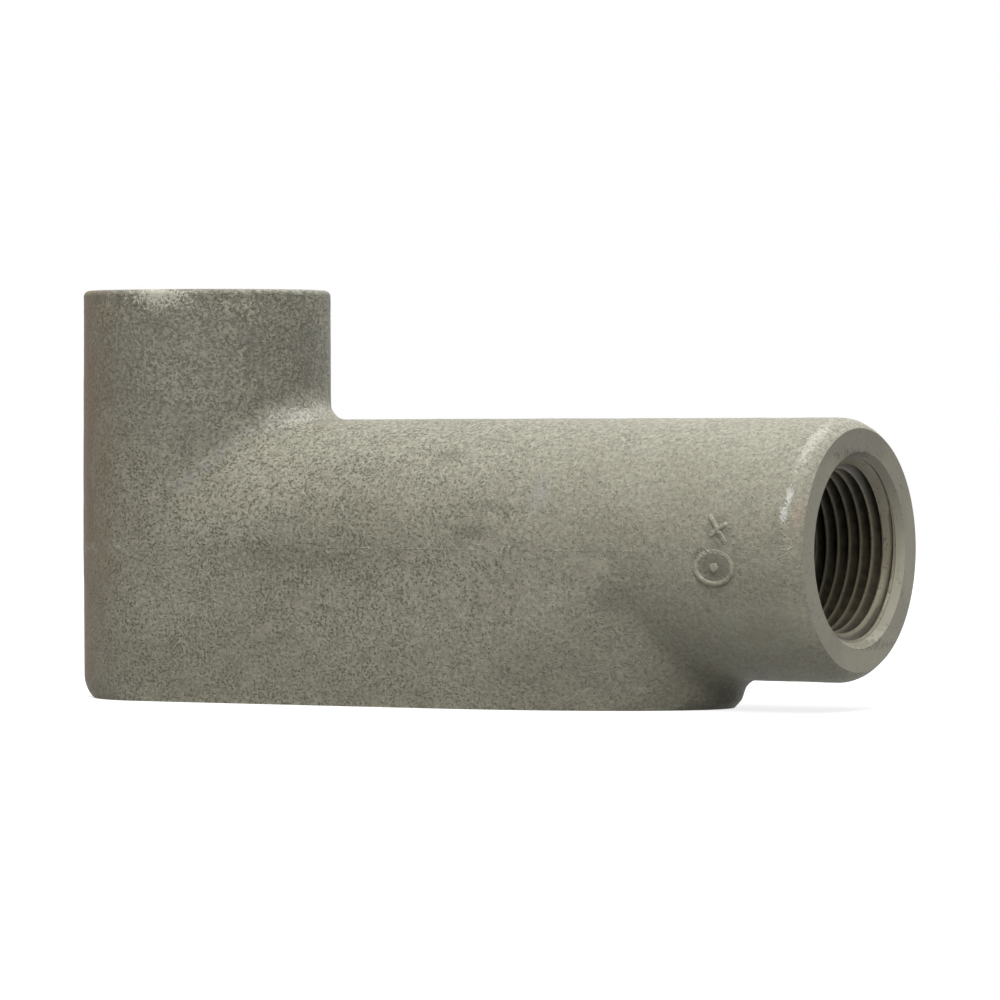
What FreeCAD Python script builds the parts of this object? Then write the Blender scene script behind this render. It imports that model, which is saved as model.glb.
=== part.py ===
"""Angle conduit body, trade size 3/4: one iron casting with two threaded hubs.

The body stands on its open cover face. X runs along the trough to the end hub, Z runs up the back
hub, and XZ is the plane of symmetry. The origin is the middle of the underside of the whole part.
All sizes are in millimetres.
"""
import FreeCAD, Part
import math
import os
import Sketcher

Vector = FreeCAD.Vector

SIZES = {
    # Overall form of the finished casting.
    "overall_length": 130.16,
    "overall_height": 61.44,
    "hub_radius": 18.86,
    "mouth_radius": 19.05,
    "hub_rim_round": 0.9,
    # The mouth is cast with a full round, and its facing takes this much off it.
    "mouth_round": 4.5,
    "mouth_facing": 1.1,
    # The mould parts on the axis of the barrel, whose mouth clears the cover plane by this much,
    # and the walls draw in above and below the parting.
    "barrel_clearance": 4.12,
    "parting_ledge": 0.1,
    "draft_slope": 0.004,
    # The trough's nose is half an ellipse at the cover face and half a circle at the parting, with
    # their centres set back from the end hub's face.
    "nose_base_setback": 61.3,
    "nose_base_reach": 40.36,
    "nose_top_setback": 26.9,
    # The foot's ends are cast round, steeper than the walls above, and its facing cuts into both.
    "back_rounding": 4.1,
    "nose_rounding": 2.2,
    "cover_facing": 0.48,
    "foot_lean": 0.65,
    "saddle_fillet": 3.0,
    "valley_fillet": 3.5,
    # The hollow.
    "wall": 3.6,
    "ceiling_rise": 1.33,
    "core_bevel": 2.0,
    "throat_radius": 10.45,
    "throat_bevel": 1.8,
    "back_throat_length": 5.0,
    "end_throat_length": 6.0,
    # The pipe threads, bored to the root of their first turn.
    "thread_root_radius": 13.28,
    "thread_length": 17.0,
    "thread_runout": 1.2,
    "countersink_radius": 14.1,
    "countersink_depth": 1.1,
    # The lugs for two cover screws, one at each end of the mouth.
    "lug_radius": 4.6,
    "lug_height": 7.5,
    "lug_slope": 3.5,
    "lug_setback": 8.1,
    "cover_screw_radius": 2.08,
}

# The foot is lofted through outlines at these shares of its height.
FOOT_LEVELS = (0.0, 0.12, 0.29, 0.62, 1.0)
ON_SURFACE = 0.02
# A lug's slope starts and spreads by these shares of the lug's radius.
SLOPE_START = 0.9
SLOPE_WIDTH = 1.2
HALF_CIRCLE = "half circle"

document = FreeCAD.newDocument("ConduitBody")


def make_sheet():
    """Put each driving size in the sheet under its own name."""
    dims = document.addObject("Spreadsheet::Sheet", "Dims")
    for row, (name, value) in enumerate(SIZES.items(), start=1):
        dims.set(f"A{row}", name)
        dims.set(f"B{row}", str(value))
        dims.setAlias(f"B{row}", name)
    document.recompute()
    return dims


sheet = make_sheet()

# Lengths that follow from the driving sizes. X is counted from the back hub's axis.
END_FACE = "(Dims.overall_length - Dims.hub_radius)"
PARTING = "(Dims.mouth_radius + Dims.barrel_clearance)"
BASE_CENTRE = f"({END_FACE} - Dims.nose_base_setback)"
TOP_CENTRE = f"({END_FACE} - Dims.nose_top_setback)"
FLARE = f"((Dims.mouth_radius - Dims.hub_radius) / {END_FACE})"
MOUTH_ROUND_LENGTH = "(Dims.mouth_round - Dims.mouth_facing)"
FACE_RADIUS = ("(Dims.mouth_radius - Dims.mouth_round"
               f" + sqrt(Dims.mouth_round ^ 2 - {MOUTH_ROUND_LENGTH} ^ 2))")
BARREL_START_RADIUS = "(Dims.hub_radius - Dims.parting_ledge)"
INNER_RADIUS = "(Dims.hub_radius - Dims.wall)"
INNER_BARREL_RADIUS = f"({BARREL_START_RADIUS} - Dims.wall)"
THREAD_END = f"({END_FACE} - Dims.thread_length)"
CAVITY_END = f"({THREAD_END} - Dims.end_throat_length)"
CEILING = f"({PARTING} + {INNER_BARREL_RADIUS} + Dims.ceiling_rise)"
BACK_THREAD_END = f"({CEILING} + Dims.back_throat_length)"
FOOT_HEIGHT = "(Dims.back_rounding - Dims.cover_facing)"
BASE_APEX = f"({BASE_CENTRE} + Dims.nose_base_reach)"
BACK_SCREW = "(Dims.lug_setback - Dims.hub_radius)"
END_SCREW = f"({BASE_APEX} - Dims.lug_setback)"


def measure(expression):
    """Give the present value of an expression on the sheet."""
    return float(sheet.evalExpression(expression))


def origin_feature(body, role):
    """Find one of a body's own origin planes or axes."""
    for feature in body.Origin.OriginFeatures:
        if feature.Role == role:
            return feature
    raise ValueError(role)


def add_body(name):
    """Start a body."""
    body = document.addObject("PartDesign::Body", name)
    body.Label = name
    return body


def add_sketch(body, name, plane, height=None):
    """Start a sketch on an origin plane of the body, lifted by an expression."""
    sketch = body.newObject("Sketcher::SketchObject", name)
    sketch.AttachmentSupport = [(origin_feature(body, plane), "")]
    sketch.MapMode = "FlatFace"
    if height is not None:
        sketch.setExpression("AttachmentOffset.Base.z", height)
    return sketch


def link(sketch, kind, *elements):
    """Add a geometric constraint."""
    sketch.addConstraint(Sketcher.Constraint(kind, *elements))


def bind(sketch, kind, *elements_and_expression):
    """Add a dimension whose value is the expression given last."""
    *elements, expression = elements_and_expression
    index = sketch.addConstraint(Sketcher.Constraint(kind, *elements, measure(expression)))
    sketch.setExpression(f"Constraints[{index}]", expression)


def place_point(sketch, edge, end, x, y):
    """Tie an edge's end to its two coordinates; None keeps it on that axis."""
    if x is None:
        link(sketch, "PointOnObject", edge, end, -2)
    else:
        bind(sketch, "DistanceX", -1, 1, edge, end, x)
    if y is None:
        link(sketch, "PointOnObject", edge, end, -1)
    else:
        bind(sketch, "DistanceY", -1, 1, edge, end, y)


def arc_between(start, end, radius):
    """Make the arc that turns anticlockwise from start to end, shorter than half a circle."""
    half_chord = (end - start) / 2
    reach = math.sqrt(max(radius ** 2 - half_chord.Length ** 2, 0.0))
    across = Vector(-half_chord.y, half_chord.x, 0).normalize()
    centre = start + half_chord + across * reach
    first = math.atan2(start.y - centre.y, start.x - centre.x)
    last = math.atan2(end.y - centre.y, end.x - centre.x)
    return Part.ArcOfCircle(Part.Circle(centre, Vector(0, 0, 1), radius), first, last)


def closed_profile(sketch, corners, rounds=None):
    """Draw a closed outline, anticlockwise, with its corners bound to expressions.

    A corner is (x, y), and None keeps it on that axis. rounds holds the radius of each side that
    is an arc, under the number of its first corner, or HALF_CIRCLE for half a circle on an upright
    side.
    """
    rounds = rounds or {}
    points = [Vector(*(measure(value) if value else 0.0 for value in corner)) for corner in corners]
    starts = []
    ends = []
    for number, start in enumerate(points):
        end = points[(number + 1) % len(points)]
        radius = rounds.get(number)
        if radius is None:
            edge = sketch.addGeometry(Part.LineSegment(start, end))
            starts.append((edge, 1))
            ends.append((edge, 2))
        elif radius == HALF_CIRCLE:
            edge = sketch.addGeometry(arc_between(start, end, (end - start).Length / 2))
            starts.append((edge, 1))
            ends.append((edge, 2))
            link(sketch, "Vertical", edge, 3, edge, 1)
        else:
            edge = sketch.addGeometry(arc_between(start, end, measure(radius)))
            starts.append((edge, 1))
            ends.append((edge, 2))
            bind(sketch, "Radius", edge, radius)
    for number, corner in enumerate(corners):
        link(sketch, "Coincident", *ends[number - 1], *starts[number])
        place_point(sketch, *starts[number], *corner)


def half_oval(sketch, reach, half_width, centre_x, side):
    """Draw the half ellipse that closes a trough outline at its nose (side 1) or back (side -1)."""
    centre = Vector(measure(centre_x) if centre_x else 0.0, 0, 0)
    along = measure(reach)
    across = measure(half_width)
    quarter = math.pi / 2
    first = -quarter if side > 0 else quarter
    round_end = math.isclose(along, across, abs_tol=1e-6)
    if round_end:
        circle = Part.Circle(centre, Vector(0, 0, 1), across)
        edge = sketch.addGeometry(Part.ArcOfCircle(circle, first, first + math.pi))
        bind(sketch, "Radius", edge, half_width)
    else:
        tip = centre + Vector(along, 0, 0)
        flank = centre + Vector(0, across, 0)
        if along < across:
            tip, flank = flank, centre - Vector(along, 0, 0)
            first -= quarter
        ellipse = Part.Ellipse(tip, flank, centre)
        edge = sketch.addGeometry(Part.ArcOfEllipse(ellipse, first, first + math.pi))
        sketch.exposeInternalGeometry(edge)
        long_axis = edge + 1
        short_axis = edge + 2
        link(sketch, "Horizontal" if along > across else "Vertical", long_axis)
        long_half, short_half = (reach, half_width) if along > across else (half_width, reach)
        bind(sketch, "Distance", long_axis, f"2 * {long_half}")
        bind(sketch, "Distance", short_axis, f"2 * {short_half}")
    place_point(sketch, edge, 3, centre_x, None)
    link(sketch, "Vertical", edge, 1, edge, 3)
    link(sketch, "Vertical", edge, 2, edge, 3)
    return edge


def trough_outline(sketch, back, nose):
    """Draw a closed trough outline from its two half ovals and the sides that join them.

    back and nose are each (reach, half width, centre).
    """
    back_edge = half_oval(sketch, *back, side=-1)
    nose_edge = half_oval(sketch, *nose, side=1)
    for start_edge, end_edge in ((back_edge, nose_edge), (nose_edge, back_edge)):
        start = sketch.getPoint(start_edge, 2)
        end = sketch.getPoint(end_edge, 1)
        side_edge = sketch.addGeometry(Part.LineSegment(start, end))
        link(sketch, "Coincident", start_edge, 2, side_edge, 1)
        link(sketch, "Coincident", side_edge, 2, end_edge, 1)


def outer_outline(body, name, height, rise, back_inset="0", nose_inset="0"):
    """Sketch the trough's outside at a height.

    rise is how far its nose has come from the base outline to the one at the parting, and the
    insets are what its rounded ends leave out.
    """
    drawn_in = f"({PARTING} - {height}) * Dims.draft_slope"
    centre = f"({BASE_CENTRE} + ({TOP_CENTRE} - {BASE_CENTRE}) * {rise})"
    back_half_width = f"(Dims.hub_radius - {drawn_in})"
    top_half_width = f"(Dims.hub_radius + {FLARE} * {TOP_CENTRE})"
    nose_half_width = f"({top_half_width} - {drawn_in})"
    nose_reach = f"(Dims.nose_base_reach + ({top_half_width} - Dims.nose_base_reach) * {rise})"
    sketch = add_sketch(body, name, "XY_Plane", height)
    trough_outline(sketch,
                   (f"({back_half_width} - {back_inset})", back_half_width, None),
                   (f"({nose_reach} - {nose_inset})", nose_half_width, centre))
    return sketch


def rounding_inset(radius, height):
    """Give what an end's rounding leaves out at a height above the faced foot."""
    below_top = f"max({radius} - Dims.cover_facing - {height}; 0)"
    return f"({radius} - sqrt({radius} ^ 2 - {below_top} ^ 2))"


def loft(body, name, sketches, ruled, kind="PartDesign::AdditiveLoft"):
    """Loft through sketches in order."""
    feature = body.newObject(kind, name)
    feature.Profile = sketches[0]
    feature.Sections = sketches[1:]
    feature.Ruled = ruled
    return feature


def revolve(body, name, sketch, axis, kind="PartDesign::Revolution"):
    """Turn a sketch once round one of the body's axes, or round the sketch's own first line."""
    feature = body.newObject(kind, name)
    feature.Profile = sketch
    feature.ReferenceAxis = axis
    feature.Angle = 360
    return feature


def vertical_axis(body):
    """Give the back hub's axis."""
    return (origin_feature(body, "Z_Axis"), [""])


def barrel_axis(sketch):
    """Draw the barrel's axis as a construction line and give it."""
    start = Vector(0, measure(PARTING), 0)
    line = sketch.addGeometry(Part.LineSegment(start, start + Vector(1, 0, 0)), True)
    link(sketch, "Horizontal", line)
    place_point(sketch, line, 1, None, PARTING)
    sketch.addConstraint(Sketcher.Constraint("DistanceX", line, 1, line, 2, 1.0))
    return (sketch, ["Axis0"])


def above_axis(radius):
    """Give the height of a point on the barrel's upper profile, at a radius from its axis."""
    return f"({PARTING} + {radius})"


def add_trough(body):
    """Build the trough: its rounded foot, then its walls up to the parting plane."""
    foot = []
    for number, level in enumerate(FOOT_LEVELS):
        height = f"({FOOT_HEIGHT} * {level})"
        rise = f"(Dims.foot_lean * {height} / {PARTING})"
        foot.append(outer_outline(body, f"FootOutline{number}", height, rise,
                                  rounding_inset("Dims.back_rounding", height),
                                  rounding_inset("Dims.nose_rounding", height)))
    loft(body, "Foot", foot, ruled=False)
    parting_outline = outer_outline(body, "PartingOutline", PARTING, "1")
    loft(body, "Walls", [foot[-1], parting_outline], ruled=True)


def add_barrel(body):
    """Build the barrel, which flares slightly to the end hub's rounded and faced mouth."""
    sketch = add_sketch(body, "BarrelProfile", "XZ_Plane")
    axis = barrel_axis(sketch)
    closed_profile(sketch, [
        (None, PARTING),
        (END_FACE, PARTING),
        (END_FACE, above_axis(FACE_RADIUS)),
        (f"({END_FACE} - {MOUTH_ROUND_LENGTH})", above_axis("Dims.mouth_radius")),
        (None, above_axis(BARREL_START_RADIUS)),
    ], {2: "Dims.mouth_round"})
    revolve(body, "Barrel", sketch, axis)


def add_back_hub(body):
    """Build the back hub, which draws in slightly to its rounded rim."""
    rim_radius = ("(Dims.hub_radius"
                  f" - (Dims.overall_height - {PARTING}) * Dims.draft_slope)")
    sketch = add_sketch(body, "BackHubProfile", "XZ_Plane")
    closed_profile(sketch, [
        (None, PARTING),
        ("Dims.hub_radius", PARTING),
        (rim_radius, "(Dims.overall_height - Dims.hub_rim_round)"),
        (f"({rim_radius} - Dims.hub_rim_round)", "Dims.overall_height"),
        (None, "Dims.overall_height"),
    ], {2: "Dims.hub_rim_round"})
    revolve(body, "BackHub", sketch, vertical_axis(body))


def on_back_hub(point):
    """Tell whether a point lies on the back hub's outside."""
    height = point.z - measure(PARTING)
    radius = SIZES["hub_radius"] - height * SIZES["draft_slope"]
    return height > ON_SURFACE and abs(math.hypot(point.x, point.y) - radius) < ON_SURFACE


def on_barrel(point):
    """Tell whether a point lies on the barrel's outside."""
    start = measure(BARREL_START_RADIUS)
    length = measure(END_FACE) - measure(MOUTH_ROUND_LENGTH)
    radius = start + (SIZES["mouth_radius"] - start) * point.x / length
    distance = math.hypot(point.y, point.z - measure(PARTING))
    return 0 < point.x < length - ON_SURFACE and abs(distance - radius) < ON_SURFACE


def in_saddle(point):
    """Tell whether a point lies where the back hub meets the barrel."""
    return on_back_hub(point) and on_barrel(point)


def in_valley(point):
    """Tell whether a point lies where the trough's nose meets the barrel's underside."""
    below_parting = measure(PARTING) - point.z
    return below_parting > ON_SURFACE and on_barrel(point)


def edges_where(shape, belongs):
    """Name the edges of a shape whose inner points all belong."""
    names = []
    for number, edge in enumerate(shape.Edges, start=1):
        first, last = edge.ParameterRange
        points = [edge.valueAt(first + (last - first) * share / 6) for share in range(1, 6)]
        if all(belongs(point) for point in points):
            names.append(f"Edge{number}")
    return names


def add_fillet(body, name, belongs, radius):
    """Blend the edges that belong, with a radius from the sheet."""
    document.recompute()
    base = body.Tip
    edges = edges_where(base.Shape, belongs)
    if not edges:
        raise RuntimeError(f"{name}: no edge found")
    feature = body.newObject("PartDesign::Fillet", name)
    feature.Base = (base, edges)
    feature.setExpression("Radius", radius)


def inner_outline(body, name, height, nose_centre, nose_reach):
    """Sketch the hollow's outline at a height."""
    sketch = add_sketch(body, name, "XY_Plane", height)
    trough_outline(sketch,
                   (INNER_RADIUS, INNER_RADIUS, None),
                   (nose_reach, INNER_RADIUS, nose_centre))
    return sketch


def add_lug_recess(body, name, centre, end):
    """Leave a lug's metal out of the core: an upright stud, then a slope back to the wall."""
    sketch = add_sketch(body, f"{name}Outline", "XY_Plane")
    toward_end = 1 if measure(end) > measure(centre) else -1
    first = "-Dims.lug_radius" if toward_end < 0 else "Dims.lug_radius"
    last = "Dims.lug_radius" if toward_end < 0 else "-Dims.lug_radius"
    closed_profile(sketch, [(end, first), (centre, first), (centre, last), (end, last)],
                   {1: HALF_CIRCLE})
    stud = body.newObject("PartDesign::Pocket", name)
    stud.Profile = sketch
    stud.Reversed = True
    stud.setExpression("Length", "Dims.lug_height")

    slope_sketch = add_sketch(body, f"{name}SlopeProfile", "XZ_Plane")
    tip = f"({centre} - {toward_end} * Dims.lug_radius * {SLOPE_START})"
    corners = [(end, "Dims.lug_height"), (tip, "Dims.lug_height"),
               (end, "(Dims.lug_height + Dims.lug_slope)")]
    if toward_end < 0:
        corners.reverse()
    closed_profile(slope_sketch, corners)
    slope = body.newObject("PartDesign::Pocket", f"{name}Slope")
    slope.Profile = slope_sketch
    slope.Midplane = True
    slope.setExpression("Length", f"Dims.lug_radius * {SLOPE_WIDTH}")


def make_core():
    """Build the core that leaves the casting hollow."""
    core = add_body("wiring_core")
    base = inner_outline(core, "MouthOutline", "0",
                         BASE_CENTRE, "(Dims.nose_base_reach - Dims.wall)")
    top = inner_outline(core, "CoreTopOutline", PARTING,
                        f"({BASE_APEX} - Dims.wall - {INNER_RADIUS})", INNER_RADIUS)
    loft(core, "CoreWalls", [base, top], ruled=True)

    barrel_sketch = add_sketch(core, "CoreBarrelProfile", "XZ_Plane")
    axis = barrel_axis(barrel_sketch)
    closed_profile(barrel_sketch, [
        (None, PARTING),
        (CAVITY_END, PARTING),
        (CAVITY_END, above_axis(f"{INNER_BARREL_RADIUS} - Dims.core_bevel")),
        (f"({CAVITY_END} - Dims.core_bevel)", above_axis(INNER_BARREL_RADIUS)),
        (None, above_axis(INNER_BARREL_RADIUS)),
    ])
    revolve(core, "CoreBarrel", barrel_sketch, axis)

    hub_sketch = add_sketch(core, "CoreHubProfile", "XZ_Plane")
    closed_profile(hub_sketch, [
        (None, PARTING),
        (INNER_RADIUS, PARTING),
        (INNER_RADIUS, f"({CEILING} - Dims.core_bevel)"),
        (f"({INNER_RADIUS} - Dims.core_bevel)", CEILING),
        (None, CEILING),
    ])
    revolve(core, "CoreHub", hub_sketch, vertical_axis(core))

    add_lug_recess(core, "BackLug", BACK_SCREW, "-Dims.hub_radius")
    add_lug_recess(core, "EndLug", END_SCREW, BASE_APEX)
    return core


def bore_profile(mouth, thread_end, inner_end, across):
    """List the corners of a hub bore from its mouth inwards: countersink, thread, throat.

    mouth, thread_end and inner_end are distances along the bore, and across turns a radius into
    the other coordinate.
    """
    return [
        (mouth, across("0")),
        (mouth, across("Dims.countersink_radius")),
        (f"({mouth} - Dims.countersink_depth)", across("Dims.thread_root_radius")),
        (f"({thread_end} + Dims.thread_runout)", across("Dims.thread_root_radius")),
        (thread_end, across("Dims.throat_radius")),
        (f"({inner_end} + Dims.throat_bevel)", across("Dims.throat_radius")),
        (inner_end, across("(Dims.throat_radius + Dims.throat_bevel)")),
        (inner_end, across("0")),
    ]


def cut_end_bore(body):
    """Bore the end hub along the barrel's axis."""
    sketch = add_sketch(body, "EndBoreProfile", "XZ_Plane")
    axis = barrel_axis(sketch)
    corners = bore_profile(END_FACE, THREAD_END, CAVITY_END, above_axis)
    closed_profile(sketch, corners)
    revolve(body, "EndBore", sketch, axis, "PartDesign::Groove")


def cut_back_bore(body):
    """Bore the back hub down its axis."""
    sketch = add_sketch(body, "BackBoreProfile", "XZ_Plane")
    corners = bore_profile("Dims.overall_height", BACK_THREAD_END, CEILING, str)
    upright = [(None if radius == "0" else radius, height) for height, radius in corners]
    closed_profile(sketch, upright)
    revolve(body, "BackBore", sketch, vertical_axis(body), "PartDesign::Groove")


def cut_cover_screws(body):
    """Drill the two cover screw holes up through their lugs."""
    sketch = add_sketch(body, "CoverScrewCentres", "XY_Plane")
    for x in (BACK_SCREW, END_SCREW):
        centre = Vector(measure(x), 0, 0)
        circle = Part.Circle(centre, Vector(0, 0, 1), measure("Dims.cover_screw_radius"))
        edge = sketch.addGeometry(circle)
        bind(sketch, "Radius", edge, "Dims.cover_screw_radius")
        place_point(sketch, edge, 3, x, None)
    holes = body.newObject("PartDesign::Pocket", "CoverScrewHoles")
    holes.Profile = sketch
    holes.Reversed = True
    holes.setExpression("Length", "Dims.lug_height + Dims.lug_slope")


def make_conduit_body():
    """Build the casting: its outside, its hollow, and what is machined afterwards."""
    body = add_body("conduit_body")
    add_trough(body)
    add_barrel(body)
    add_back_hub(body)
    add_fillet(body, "ValleyFillet", in_valley, "Dims.valley_fillet")
    add_fillet(body, "SaddleFillet", in_saddle, "Dims.saddle_fillet")
    hollow = body.newObject("PartDesign::Boolean", "Hollow")
    hollow.Type = "Cut"
    hollow.setObjects([make_core()])
    cut_end_bore(body)
    cut_back_bore(body)
    cut_cover_screws(body)
    body.setExpression("Placement.Base.x", "Dims.hub_radius - Dims.overall_length / 2")
    document.recompute()
    return body


def check(parts):
    """Stop if any object failed, or if a part's shape is not one valid solid."""
    for item in document.Objects:
        if "Invalid" in item.State or "Error" in item.State:
            raise RuntimeError(f"{item.Label} failed: {item.State}")
    for part in parts:
        shape = part.Shape
        if shape.isNull() or not shape.isValid() or len(shape.Solids) != 1:
            raise RuntimeError(f"{part.Label} is not one valid solid")


def export(parts):
    """Write each part's shape under its own name."""
    os.makedirs("parts", exist_ok=True)
    for part in parts:
        part.Shape.exportStep(f"parts/{part.Label}.step")
        box = part.Shape.BoundBox
        print(f"{part.Label}: {part.Shape.Volume:.1f} mm3, "
              f"X {box.XMin:.3f} {box.XMax:.3f}, Y {box.YMin:.3f} {box.YMax:.3f}, "
              f"Z {box.ZMin:.3f} {box.ZMax:.3f}")


parts = [make_conduit_body()]
check(parts)
export(parts)
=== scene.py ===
"""Looks of the cast-iron angle conduit body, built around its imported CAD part.

Places are given in millimetres from the back hub's axis and the cover plane, as a pattern maker
would measure them: X along the trough, Z up the back hub, Y across.
"""
import enum
import logging
import math
from collections.abc import Iterable, Iterator, Sequence
from dataclasses import dataclass, field

import bmesh
import bpy
from mathutils import Matrix, Vector


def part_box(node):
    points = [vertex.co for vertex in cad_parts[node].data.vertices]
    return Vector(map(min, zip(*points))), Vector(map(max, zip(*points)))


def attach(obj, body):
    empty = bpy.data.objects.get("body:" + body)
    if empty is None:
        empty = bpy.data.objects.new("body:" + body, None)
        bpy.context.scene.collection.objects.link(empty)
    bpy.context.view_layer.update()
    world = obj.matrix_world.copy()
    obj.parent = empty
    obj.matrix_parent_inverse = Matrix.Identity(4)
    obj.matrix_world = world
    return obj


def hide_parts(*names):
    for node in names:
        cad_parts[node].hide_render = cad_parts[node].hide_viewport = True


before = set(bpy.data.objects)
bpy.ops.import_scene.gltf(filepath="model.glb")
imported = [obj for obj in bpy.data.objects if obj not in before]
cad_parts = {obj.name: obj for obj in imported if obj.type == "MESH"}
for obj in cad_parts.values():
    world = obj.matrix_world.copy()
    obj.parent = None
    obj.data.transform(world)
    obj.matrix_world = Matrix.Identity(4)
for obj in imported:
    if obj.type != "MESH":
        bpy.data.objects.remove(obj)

log = logging.getLogger("conduit_body")

MILLIMETRE = 0.001
NODE = "conduit_body"
BODY = "root"
CAST_MASK = "cast_skin"
SKIN_DIRECTION = "skin_direction"
CREST_WEAR_AND_HIGHLIGHT = "crest_wear_and_highlight"

Colour = tuple[float, float, float]
Point = tuple[float, float, float]


@dataclass(frozen=True)
class CastingSizes:
    """The casting's sizes in millimetres."""

    length: float
    height: float
    hub_radius: float = 18.86
    parting_height: float = 23.17
    mouth_radius: float = 19.05
    mouth_round_length: float = 3.4
    ledge: float = 0.1
    draft: float = 0.004
    nose_centre: float = 75.0
    nose_base_setback: float = 61.3
    nose_base_reach: float = 40.36
    nose_top_setback: float = 26.9
    foot_height: float = 3.62
    foot_lean: float = 0.65
    saddle_round: float = 5.4
    thread_root_radius: float = 13.28
    thread_wall: float = 14.7
    countersink_radius: float = 14.1
    countersink_depth: float = 1.1

    @property
    def hub_axis_x(self) -> float:
        """Give the back hub's axis in the row frame."""
        return self.hub_radius - self.length / 2

    @property
    def end_face(self) -> float:
        """Give the end hub's face, from the back hub's axis."""
        return self.length - self.hub_radius

    def hub_radius_at(self, z: float) -> float:
        """Give the back hub's outside radius at a height."""
        return self.hub_radius - abs(z - self.parting_height) * self.draft

    def barrel_radius_at(self, x: float) -> float:
        """Give the barrel's outside radius at a distance from the back hub's axis."""
        start = self.hub_radius - self.ledge
        return start + (self.mouth_radius - start) * x / (self.end_face - self.mouth_round_length)

    def to_row(self, point: Sequence[float]) -> Vector:
        """Turn a place in millimetres into one in the row frame, in metres."""
        return Vector((point[0] + self.hub_axis_x, point[1], point[2])) * MILLIMETRE

    def from_row(self, place: Vector) -> Vector:
        """Turn a place in the row frame, in metres, into millimetres from the back hub's axis."""
        point = place / MILLIMETRE
        point.x -= self.hub_axis_x
        return point


def read_sizes() -> CastingSizes:
    """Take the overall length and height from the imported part.

    Returns:
        The casting's sizes.
    """
    low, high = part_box(NODE)
    return CastingSizes(length=(high[0] - low[0]) / MILLIMETRE,
                        height=(high[2] - low[2]) / MILLIMETRE)


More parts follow.
